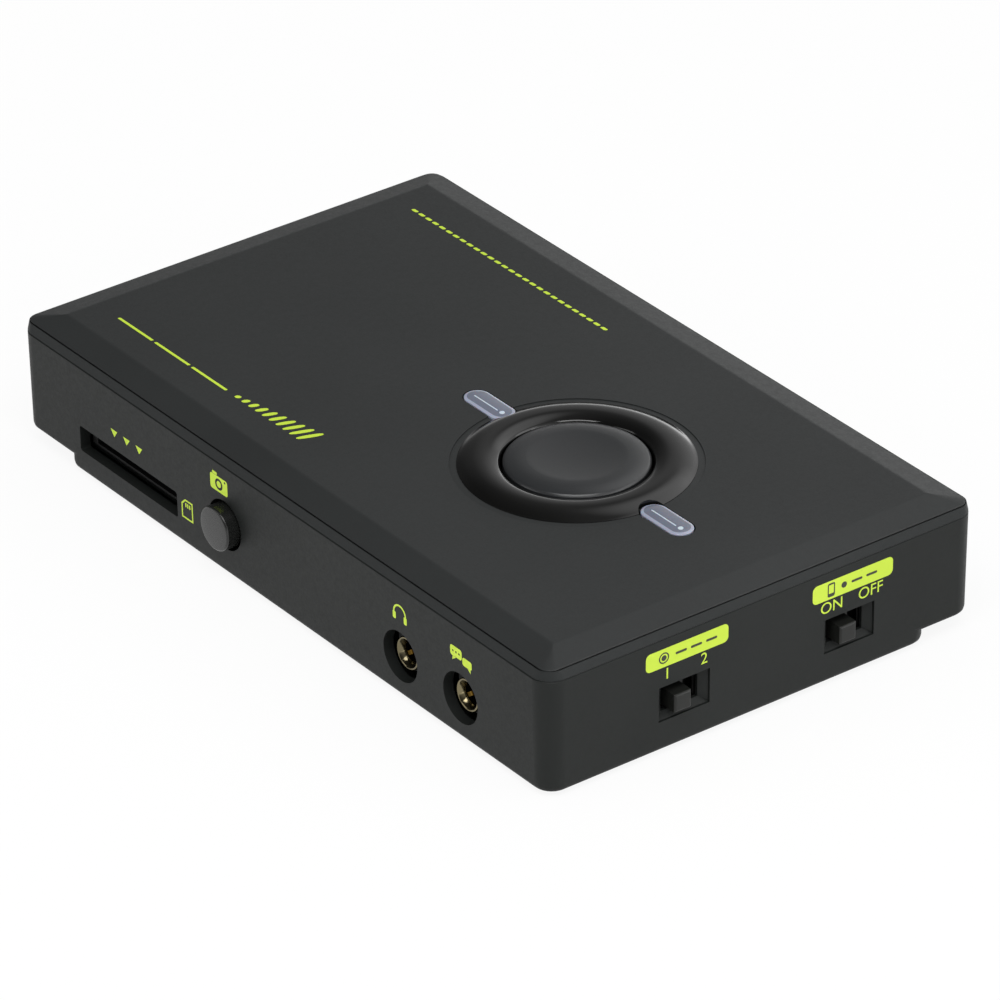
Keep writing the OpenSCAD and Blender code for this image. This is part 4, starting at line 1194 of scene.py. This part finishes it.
@dataclass
class FrontControls:
    """The snapshot button and the two audio jacks in the front wall."""

    shop: Workshop
    snap_r: float = 3.9
    snap_edge: float = 0.4
    snap_bow: float = 0.06
    edge_steps: int = 8
    flange_t: float = 0.9
    flange_gap: float = 0.1
    snap_stem_r: float = 2.0
    ferrule_r: float = 2.9
    ferrule_edge: float = 0.25
    plug_r: float = 1.8
    ferrule_l: float = 6.0
    tube_t: float = 0.35
    mouth_r: float = 2.5
    mouth_d: float = 1.0
    mouth_roll: tuple[Point, ...] = ((-0.12, 0.14), (0.0, 0.03), (0.08, 0.0))
    bore_ease: Point = (0.05, 0.25)
    leaf_w: float = 0.7
    leaf_t: float = 0.1
    leaf_turn: Point = (0.81, 0.586)
    leaf_path: tuple[Point, ...] = ((1.3, 0.02), (1.6, 0.3), (1.85, 0.46), (2.1, 0.5), (2.35, 0.44), (2.8, 0.25),
                                    (4.5, 0.05))
    snapshot: bpy.types.Object | None = None
    ferrules: dict[str, bpy.types.Object] = field(default_factory=dict)
    leaves: dict[str, bpy.types.Object] = field(default_factory=dict)

    def build(self) -> None:
        """Turn the cap and the ferrules, and bend the contact leaves."""
        shop = self.shop
        self.snapshot = shop.shade(self._cap(), CRISP_TURNED)
        for name in ("headset", "chat"):
            at = self._mouth(f"{name}_jack_ferrule")
            section = self._ferrule_profile(self._collar_length(at.y))
            ferrule = shop.revolve(f"{name}_ferrule", section, at, SMALL_STEPS, Axis.BACK)
            self.ferrules[name] = shop.shade(ferrule, CRISP_TURNED)
            self.leaves[name] = shop.shade(self._leaf(name, at), CRISP_TURNED)

    @staticmethod
    def _mouth(node: str) -> Vector:
        """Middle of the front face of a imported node."""
        low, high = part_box(node)
        return Vector(((low.x + high.x) / 2, low.y, (low.z + high.z) / 2))

    def _cap(self) -> bpy.types.Object:
        """Turn the snapshot button: a nearly flat face with a rolled edge, its flange and its stem.

        Returns:
            The button.
        """
        low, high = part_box("snapshot_button")
        wall = self._collar_length(low.y) + self.flange_gap
        end, flange = (high.y - low.y) / MM, (high.x - low.x) / 2 / MM
        edge, bow, stem = self.snap_edge, self.snap_bow, self.snap_stem_r
        points: list[Point] = [(0.0, 0.0), (self.snap_r / 2, bow / 4), (self.snap_r - edge, bow)]
        for i in range(1, self.edge_steps + 1):
            turn = math.radians(90 * i / self.edge_steps)
            points.append((self.snap_r - edge * (1 - math.sin(turn)), bow + edge * (1 - math.cos(turn))))
        back = wall + self.flange_t
        points += [(self.snap_r, wall), (flange, wall), (flange, back), (stem, back), (stem, end), (0.0, end)]
        return self.shop.revolve("snapshot_cap", points, self._mouth("snapshot_button"), SMALL_STEPS, Axis.BACK)

    def _collar_length(self, face: float) -> float:
        """Length of a ferrule's collar, from its face to the housing."""
        return (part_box("headset_jack_housing")[0].y - face) / MM

    def _ferrule_profile(self, collar: float) -> list[Point]:
        """Closed section of a ferrule: rolled outer edge, wide countersunk mouth, collar and tube.

        Args:
            collar: Length of the collar, in millimetres.

        Returns:
            Radius and depth of each point, in millimetres.
        """
        outer, inner, edge = self.ferrule_r, self.plug_r, self.ferrule_edge
        ease_out, ease_in = self.bore_ease
        points: list[Point] = [(inner, self.ferrule_l), (inner, self.mouth_d + ease_in),
                               (inner + ease_out, self.mouth_d)]
        points += [(self.mouth_r + out, depth) for out, depth in self.mouth_roll]
        for turn in (math.radians(angle) for angle in (0, 30, 60, 90)):
            points.append((outer - edge + edge * math.sin(turn), edge * (1 - math.cos(turn))))
        tube = inner + self.tube_t
        return points + [(outer, collar), (tube, collar), (tube, self.ferrule_l)]

    def _leaf(self, name: str, at: Vector) -> bpy.types.Object:
        """Bend the contact leaf whose nose shows in a jack's bore.

        Args:
            name: Name of the jack.
            at: Middle of the jack's face.

        Returns:
            The leaf.
        """
        east, up = self.leaf_turn
        inward, across = Vector((east, 0.0, up)), Vector((-up, 0.0, east))
        loops = []
        for depth, lift in self.leaf_path:
            middle = Vector((0.0, depth, 0.0)) - inward * (self.plug_r - lift)
            loops.append([at + (middle + across * (sx * self.leaf_w / 2) + inward * (sz * self.leaf_t / 2)) * MM
                          for sx, sz in ((-1, -1), (1, -1), (1, 1), (-1, 1))])
        return self.shop.loft(f"{name}_jack_leaf", loops)

    def dress(self) -> None:
        """Give the cap its satin plastic and the jacks their plating."""
        self.shop.finish_piece(self.snapshot, SNAP_SATIN, "snap_plastic", Body.SNAPSHOT, ["snapshot_button"])
        for name, ferrule in self.ferrules.items():
            self.shop.finish_piece(ferrule, JACK_METAL, "jack_metal", stands_for=[f"{name}_jack_ferrule"])
            self.shop.finish_piece(self.leaves[name], GOLD, "gold")


SWITCHES = {Body.MODE: "mode", Body.PHONE: "phone"}


@dataclass
class SideSwitches:
    """The knobs of the two slide switches in the right wall."""

    shop: Workshop
    edge: float = 0.16
    edge_steps: int = 2
    eased_l: float = 3.4
    crisp: float = 30.0
    knobs: dict[Body, bpy.types.Object] = field(default_factory=dict)

    def build(self) -> None:
        """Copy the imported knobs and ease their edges."""
        for body, name in SWITCHES.items():
            self.knobs[body] = self._knob(name)

    def _knob(self, name: str) -> bpy.types.Object:
        """Copy one packed knob and ease the edges of the part that stands out.

        Args:
            name: Name of the switch.

        Returns:
            The knob.
        """
        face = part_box(f"{name}_switch_knob")[1].x

        def share(edge: bmesh.types.BMEdge, angle: float) -> float:
            """1 for a crisp edge of the part that stands out, 0 for any other."""
            stands_out = min(v.co.x for v in edge.verts) > face - self.eased_l * MM
            return float(angle > self.crisp and stands_out)

        knob = self.shop.copy_of(f"{name}_switch_knob", f"{name}_knob")
        return self.shop.shade(self.shop.round_edges(knob, self.edge, self.edge_steps, share), CRISP_TURNED)

    def dress(self) -> None:
        """Give the knobs their plain plastic."""
        for body, name in SWITCHES.items():
            self.shop.finish_piece(self.knobs[body], KNOB_PLASTIC, "knob_plastic", body,
                                   [f"{name}_switch_knob"])


class DashRow:
    """A row of slanted dashes with round ends, made by geometry nodes."""

    EASE, WELD = 0.42, 1e-6

    INPUTS = {"Count": ("NodeSocketInt", 10), "Pitch": ("NodeSocketFloat", 2 * MM),
              "Length": ("NodeSocketFloat", MM), "Height": ("NodeSocketFloat", MM),
              "Rise": ("NodeSocketFloat", 0.0), "Slant": ("NodeSocketFloat", 0.0),
              "Thickness": ("NodeSocketFloat", 0.02 * MM), "Start": ("NodeSocketVector", (0.0, 0.0, 0.0)),
              "Ink": ("NodeSocketMaterial", None)}

    def __init__(self, shop: Workshop) -> None:
        """Build the tree once.

        Args:
            shop: The workshop that makes the rows.
        """
        self.shop = shop
        tree = bpy.data.node_groups.new("dash_row", "GeometryNodeTree")
        tree.interface.new_socket("Geometry", in_out="INPUT", socket_type="NodeSocketGeometry")
        for name, (kind, value) in self.INPUTS.items():
            made = tree.interface.new_socket(name, in_out="INPUT", socket_type=kind)
            if value is not None:
                made.default_value = value
        tree.interface.new_socket("Geometry", in_out="OUTPUT", socket_type="NodeSocketGeometry")
        self.tree = tree
        self._wire(NodeTree(tree))

    @staticmethod
    def _wire(net: NodeTree) -> None:
        """Wire the tree: one dash, instanced along a line, realised, slanted and moved to its place.

        Args:
            net: The tree to fill.
        """
        given = net.add("NodeGroupInput").outputs
        outline = net.out("GeometryNodeCurvePrimitiveQuadrilateral", {"Width": given["Length"],
                                                                      "Height": given["Height"]})
        ease = net.math("MULTIPLY", net.math("MINIMUM", given["Length"], given["Height"]), DashRow.EASE)
        eased = net.out("GeometryNodeFilletCurve", {"Curve": outline, "Radius": ease, "Count": 5}, mode="POLY")
        flat = net.out("GeometryNodeFillCurve", {"Curve": eased}, mode="NGONS")
        half = net.math("MULTIPLY", given["Height"], 0.5)
        on_line = net.out("GeometryNodeTransform", {"Geometry": flat, "Translation": net.vector(Y=half)})
        raised = net.out("GeometryNodeExtrudeMesh", {"Mesh": on_line, "Offset": net.vector(Z=1.0),
                                                     "Offset Scale": given["Thickness"], "Individual": False})
        under = net.out("GeometryNodeFlipFaces", {"Mesh": on_line})
        joined = net.add("GeometryNodeJoinGeometry")
        for part in (raised, under):
            net.tree.links.new(part, joined.inputs[0])
        dash = net.out("GeometryNodeMergeByDistance", {"Geometry": joined.outputs[0], "Distance": DashRow.WELD})
        line = net.out("GeometryNodeMeshLine", {"Count": given["Count"], "Offset": net.vector(X=given["Pitch"])})
        taller = net.math("MULTIPLY_ADD", net.out("GeometryNodeInputIndex"), given["Rise"], 1.0)
        placed = net.out("GeometryNodeInstanceOnPoints", {"Points": line, "Instance": dash,
                                                          "Scale": net.vector(X=1.0, Y=taller, Z=1.0)})
        solid = net.out("GeometryNodeRealizeInstances", {"Geometry": placed})
        spot = net.add("ShaderNodeSeparateXYZ", {0: net.out("GeometryNodeInputPosition")})
        lean = net.vector(X=net.math("MULTIPLY", spot.outputs["Y"], given["Slant"]))
        place = net.out("ShaderNodeVectorMath", {0: lean, 1: given["Start"]}, operation="ADD")
        leaning = net.out("GeometryNodeSetPosition", {"Geometry": solid, "Offset": place})
        inked = net.out("GeometryNodeSetMaterial", {"Geometry": leaning, "Material": given["Ink"]})
        net.add("NodeGroupOutput", {0: inked})

    def make(self, name: str, ink: Finish, **values: object) -> bpy.types.Object:
        """Make one row as a plain mesh.

        Args:
            name: Name of the piece.
            ink: Finish of the dashes.
            values: Values of the tree's inputs, lengths in metres.

        Returns:
            The row.
        """
        row = add_object(name, bpy.data.meshes.new(name))
        nodes = row.modifiers.new("dash_row", "NODES")
        nodes.node_group = self.tree
        ids = {item.name: item.identifier for item in self.tree.interface.items_tree
               if item.in_out == "INPUT"}
        nodes[ids["Ink"]] = ink.material(self.shop.groups)
        for key, value in values.items():
            nodes[ids[key.capitalize()]] = value
        return self.shop.bake(row)


@dataclass(frozen=True)
class Dashes:
    """One row of dashes on the lid, in millimetres."""

    name: str
    count: int
    pitch: float
    length: float
    height: float
    along: float
    v: float
    rise: float = 0.0


@dataclass
class Markings:
    """Plain printed marks in lime ink: stripes on the lid, pictograms and plates on the walls."""

    shop: Workshop
    film: float = 0.03
    lid_start: float = -60.4
    slant: float = 0.35
    rows: tuple[Dashes, ...] = (
        Dashes("tag_dashes", 28, 1.95, 1.35, 0.62, 0.0, 29.6),
        Dashes("level_stripe", 3, 10.6, 9.8, 0.5, 5.0, -31.5),
        Dashes("level_bars", 10, 1.9, 0.95, 0.9, 34.0, -31.5, rise=0.42),
    )
    plate_w: float = 16.3
    plate_h: float = 3.35
    plate_r: float = 0.9
    plate_v: float = 17.9
    label_v: float = 14.75
    label_h: float = 2.9
    positions: tuple[tuple[str, float], ...] = (("1", -19.55), ("2", -12.25), ("ON", 13.35), ("OFF", 21.25))
    plates: tuple[float, float] = (-15.65, 17.55)
    made: list[tuple[bpy.types.Object, Finish]] = field(default_factory=list)

    def build(self) -> None:
        """Make every mark."""
        self._lid_marks()
        self._front_marks()
        self._side_marks()

    def _lid_marks(self) -> None:
        """A dashed stripe at the back of the lid, and a stripe that ends in level bars at its front."""
        dashes = DashRow(self.shop)
        for row in self.rows:
            start = self.shop.layout.on_lid(self.lid_start + row.along, row.v, 0.0)
            made = dashes.make(row.name, LIME_INK, count=row.count, pitch=row.pitch * MM,
                               length=row.length * MM, height=row.height * MM, rise=row.rise,
                               slant=self.slant, thickness=self.film * MM, start=start)
            self._keep(made, LIME_INK)

    def _front_marks(self) -> None:
        """Pictograms over the slot, the snapshot button and the jacks."""
        card = [[(-1.6, -1.85), (1.6, -1.85), (1.6, 1.85), (-0.55, 1.85), (-1.6, 0.85)],
                [(-1.3, -1.55), (1.3, -1.55), (1.3, 1.55), (-0.43, 1.55), (-1.3, 0.72)]]
        card += [rounded(u, 0.8, 0.32, 0.8, 0.08) for u in (-0.35, 0.2, 0.75)]
        lens = [rounded(0.0, -0.25, 4.8, 2.9, 0.5), circle(0.0, -0.25, 1.05), circle(0.0, -0.25, 0.6),
                rounded(-1.1, 1.52, 1.3, 0.5, 0.15), circle(1.7, 0.75, 0.22, 16)]
        phones = [half_ring(0.0, -0.1, 1.7, 1.36), rounded(-1.45, -0.75, 0.8, 1.35, 0.25),
                  rounded(1.45, -0.75, 0.8, 1.35, 0.25)]
        bubbles = [rounded(-1.1, 0.45, 3.0, 1.9, 0.5), [(-2.0, -0.55), (-1.1, -0.55), (-2.1, -1.25)],
                   rounded(1.75, -0.35, 2.4, 1.5, 0.45), [(1.9, -1.15), (2.6, -1.15), (2.65, -1.75)]]
        bubbles += [circle(u, 0.45, 0.2, 16) for u in (-1.9, -1.1, -0.3)]
        arrows = [[(u - 0.95, 0.65), (u + 0.95, 0.65), (u, -0.65)] for u in (-3.6, 0.0, 3.6)]
        places = (("slot_arrows", arrows, -41.5, 13.0), ("card_pictogram", card, -24.45, 7.9),
                  ("camera_pictogram", lens, -14.85, 17.45), ("headphone_pictogram", phones, 34.4, 16.3),
                  ("speech_pictogram", bubbles, 50.3, 15.9))
        for name, loops, u, v in places:
            plate = self.shop.filled(name, [moved(loop, u, v) for loop in loops], self.film)
            self._keep(self.shop.lay(plate, self.shop.layout.on_front), LIME_INK)

    def _side_marks(self) -> None:
        """Lime plates with plain dark signs over the switches, and the switches' positions."""
        shop, face, film = self.shop, self.shop.layout.on_side, self.film
        for number, u in enumerate(self.plates, 1):
            loop = rounded(u, self.plate_v, self.plate_w, self.plate_h, self.plate_r)
            self._keep(shop.lay(shop.filled(f"switch_plate_{number}", [loop], film), face), LIME_INK)

        def raised(u: float, v: float, lift: float) -> Vector:
            """Point on top of a plate's ink."""
            return face(u, v, lift + film)

        dot = [circle(-4.6, 0.0, radius) for radius in (1.0, 0.78, 0.5)]
        dot += [rounded(u, 0.0, 2.2, 0.42, 0.2) for u in (-1.2, 1.8, 4.8)]
        phone = [rounded(-4.4, 0.0, 1.45, 2.5, 0.3), rounded(-4.4, 0.15, 1.05, 1.6, 0.1),
                 circle(-1.8, 0.0, 0.55)]
        phone += [rounded(u, 0.0, 2.2, 0.42, 0.2) for u in (0.8, 3.8)]
        for name, loops, u in (("record_sign", dot, self.plates[0]), ("phone_sign", phone, self.plates[1])):
            sign = shop.filled(name, [moved(loop, u, self.plate_v) for loop in loops], film)
            self._keep(shop.lay(sign, raised), DARK_INK)
        words = [(word, u, self.label_v) for word, u in self.positions]
        label = shop.lettered("switch_positions", words, self.label_h, film)
        self._keep(shop.lay(label, face), LIME_INK)

    def _keep(self, made: bpy.types.Object, finish: Finish) -> None:
        """Remember a mark and its ink."""
        self.made.append((made, finish))

    def dress(self) -> None:
        """Ink every mark."""
        for made, finish in self.made:
            self.shop.finish_piece(made, finish, "case_plastic")


@dataclass
class PackedPieces:
    """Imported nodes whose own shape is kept, with procedural finishes."""

    shop: Workshop

    def dress(self) -> None:
        """Give each kept node its finish."""
        for node, finish in NODE_FINISHES.items():
            mesh = self.shop.layout.nodes[node].data
            material = finish.material(self.shop.groups)
            if not mesh.materials:
                mesh.materials.append(material)
            for index in range(len(mesh.materials)):
                mesh.materials[index] = material
            LOG.info("%s: packed node, %s", node, finish.name)


@dataclass(frozen=True)
class Softbox:
    """One large soft lamp that faces a point over the box."""

    name: str
    place: tuple[float, float, float]
    size: tuple[float, float]
    power: float
    aim_z: float = 0.01

    def build(self) -> None:
        """Make the lamp."""
        lamp = bpy.data.lights.new(self.name, "AREA")
        lamp.shape = "RECTANGLE"
        lamp.size, lamp.size_y = self.size
        lamp.energy = self.power
        made = add_object(self.name, lamp)
        place = Vector(self.place)
        back = (place - Vector((0.0, 0.0, self.aim_z))).normalized()
        across = Vector((-back.y, back.x, 0.0)).normalized()
        turn = Matrix((across, back.cross(across), back)).transposed()
        made.matrix_world = Matrix.Translation(place) @ turn.to_4x4()


@dataclass
class Studio:
    """Pale floor, soft lamps, white surroundings and the camera."""

    floor_size: float = 6.0
    floor_tone: float = 0.96
    azimuth: float = 53.37
    elevation: float = 30.29
    roll: float = -0.70
    lens: float = 266.41
    sensor: float = 36.0
    clip: Point = (0.05, 20.0)
    camera_at: tuple[float, float, float] = (0.84084, -0.62214, 0.61719)
    ambient: float = 0.5
    shadow: float = 0.1
    sky_r: float = 1.6
    sky_tones: tuple[Point, ...] = ((0.0, 3.0), (0.08, 2.2), (0.15, 0.85), (0.24, 0.7), (0.5, 0.65),
                                    (0.66, 0.36), (1.0, 0.3))
    side_tones: tuple[Point, ...] = ((0.0, 0.05), (0.3, 0.06), (0.41, 0.13), (0.5, 0.28), (0.6, 0.43),
                                     (0.69, 0.62), (0.76, 0.9), (1.0, 1.0))
    sky_light: float = 2.0
    window_at: tuple[float, float, float] = (-0.14, 0.628, 0.766)
    window_edge: Point = (0.9, 0.985)
    window_light: float = 0.9
    lamps: tuple[Softbox, ...] = (
        Softbox("key_box", (0.55, -0.43, 1.2), (1.0, 0.6), 10.0),
        Softbox("right_box", (1.3, 0.35, 0.5), (0.8, 0.6), 2.5),
        Softbox("left_box", (-0.5, -1.3, 0.5), (0.8, 0.6), 2.5),
        Softbox("back_box", (0.9, 0.9, 0.8), (0.8, 0.6), 2.0),
    )

    def build(self) -> None:
        """Set the stage."""
        bpy.context.scene.view_settings.view_transform = "Standard"
        self._floor()
        self._sky()
        self._world()
        for lamp in self.lamps:
            lamp.build()
        self._camera()

    @staticmethod
    def _seen(net: NodeTree) -> bpy.types.NodeSocket:
        """Mask of the rays that should meet white: camera, glossy and transmission.

        Args:
            net: The tree to add to.

        Returns:
            1 for such a ray, 0 for any other.
        """
        path = net.add("ShaderNodeLightPath")
        first = net.math("MAXIMUM", path.outputs["Is Camera Ray"], path.outputs["Is Glossy Ray"])
        return net.math("MAXIMUM", first, path.outputs["Is Transmission Ray"])

    @staticmethod
    def _placed(name: str, bm: bmesh.types.BMesh, skin: str) -> tuple[bpy.types.Object, NodeTree]:
        """Put one piece of the stage into the scene with an empty material.

        Args:
            name: Name of the piece.
            bm: Its working mesh, which is freed.
            skin: Name of its material.

        Returns:
            The piece and the tree of its material.
        """
        piece = add_object(name, to_mesh(name, bm))
        made = bpy.data.materials.new(skin)
        made.use_nodes = True
        piece.data.materials.append(made)
        return piece, NodeTree(made.node_tree)

    def _floor(self) -> None:
        """A wide pale floor that keeps the shadow of the box."""
        bm = bmesh.new()
        bmesh.ops.create_grid(bm, x_segments=1, y_segments=1, size=self.floor_size / 2)
        floor, net = self._placed("studio_floor", bm, "studio_floor_white")
        tone = self.floor_tone
        matte = net.out("ShaderNodeBsdfDiffuse", {"Color": (tone, tone, tone, 1.0)})
        glow = net.out("ShaderNodeEmission", {"Color": WHITE, "Strength": 1.0})
        share = net.math("MULTIPLY", self._seen(net), 1.0 - self.shadow)
        both = net.out("ShaderNodeMixShader", {0: share, 1: matte, 2: glow})
        net.add("ShaderNodeOutputMaterial", {"Surface": both})

    @staticmethod
    def _ramp(net: NodeTree, value: bpy.types.NodeSocket, tones: Sequence[Point]) -> bpy.types.NodeSocket:
        """Lead a value through a ramp of grey tones.

        Args:
            net: The tree to add to.
            value: The value, 0 to 1.
            tones: Places from 0 to 1, each with its tone.

        Returns:
            The tone.
        """
        ramp = net.add("ShaderNodeValToRGB", {"Fac": value})
        stops = ramp.color_ramp.elements
        for at, tone in tones:
            stop = stops[0] if at == 0.0 else stops[-1] if at == 1.0 else stops.new(at)
            stop.color = (tone, tone, tone, 1.0)
        return ramp.outputs[0]

    def _window(self, net: NodeTree, place: bpy.types.Node) -> bpy.types.NodeSocket:
        """A soft round window in the dome, as a light to add.

        Args:
            net: The tree to add to.
            place: The node that splits the dome's coordinates.

        Returns:
            The window's light.
        """
        parts = [net.math("MULTIPLY", place.outputs[axis], share / self.sky_r)
                 for axis, share in zip("XYZ", self.window_at)]
        near = net.math("ADD", net.math("ADD", parts[0], parts[1]), parts[2])
        return net.out("ShaderNodeMapRange", {"Value": near, "From Min": self.window_edge[0],
                                              "From Max": self.window_edge[1], "To Max": self.window_light},
                       interpolation_type="SMOOTHSTEP")

    def _sky(self) -> None:
        """A graduated dome, white at its foot and dark above, that only glossy skins mirror."""
        bm = bmesh.new()
        bmesh.ops.create_uvsphere(bm, u_segments=48, v_segments=24, radius=self.sky_r)
        below = [vertex for vertex in bm.verts if vertex.co.z < -1e-4]
        bmesh.ops.delete(bm, geom=below, context="VERTS")
        sky, net = self._placed("graduated_sky", bm, "sky_paper")
        place = net.add("ShaderNodeSeparateXYZ", {0: net.place()})
        height = net.math("DIVIDE", place.outputs["Z"], self.sky_r)
        az = math.radians(self.azimuth)
        across = net.math("ADD", net.math("MULTIPLY", place.outputs["X"], math.cos(az) / self.sky_r),
                          net.math("MULTIPLY", place.outputs["Y"], math.sin(az) / self.sky_r))
        sideways = net.math("ADD", net.math("MULTIPLY", across, 0.5), 0.5)
        tone = net.math("MULTIPLY", self._ramp(net, height, self.sky_tones),
                        self._ramp(net, sideways, self.side_tones))
        light = net.math("ADD", net.math("MULTIPLY", tone, self.sky_light), self._window(net, place))
        paper = net.out("ShaderNodeEmission", {"Color": WHITE, "Strength": light})
        net.add("ShaderNodeOutputMaterial", {"Surface": paper})
        sky.visible_camera = sky.visible_diffuse = sky.visible_shadow = sky.visible_transmission = False

    def _world(self) -> None:
        """White where it is seen, and a plain even light elsewhere."""
        world = bpy.data.worlds.new("studio_world")
        bpy.context.scene.world = world
        world.use_nodes = True
        net = NodeTree(world.node_tree)
        seen, lit = (net.out("ShaderNodeBackground", {"Color": WHITE, "Strength": strength})
                     for strength in (1.0, self.ambient))
        both = net.out("ShaderNodeMixShader", {0: self._seen(net), 1: lit, 2: seen})
        net.add("ShaderNodeOutputWorld", {"Surface": both})

    def _camera(self) -> None:
        """The camera at the photograph's place and angle."""
        data = bpy.data.cameras.new("camera")
        data.lens = self.lens
        data.sensor_width = self.sensor
        data.clip_start, data.clip_end = self.clip
        camera = add_object("camera", data)
        az, el, roll = (math.radians(v) for v in (self.azimuth, self.elevation, self.roll))
        back = Vector((math.sin(az) * math.cos(el), -math.cos(az) * math.cos(el), math.sin(el)))
        right = Vector((math.cos(az), math.sin(az), 0.0))
        up = back.cross(right)
        across = math.cos(roll) * right + math.sin(roll) * up
        above = math.cos(roll) * up - math.sin(roll) * right
        turn = Matrix((across, above, back)).transposed().to_4x4()
        camera.matrix_world = Matrix.Translation(Vector(self.camera_at)) @ turn
        bpy.context.scene.camera = camera


def main() -> None:
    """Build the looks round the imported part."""
    logging.basicConfig(level=logging.INFO, format="%(name)s: %(message)s")
    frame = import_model()
    shop = Workshop(Layout.read(frame["nodes"]))
    for assembly in (CaseShell(shop), RecordButton(shop), FrontControls(shop), SideSwitches(shop), Markings(shop)):
        assembly.build()
        assembly.dress()
    PackedPieces(shop).dress()
    Studio().build()


if __name__ == "__main__":
    main()
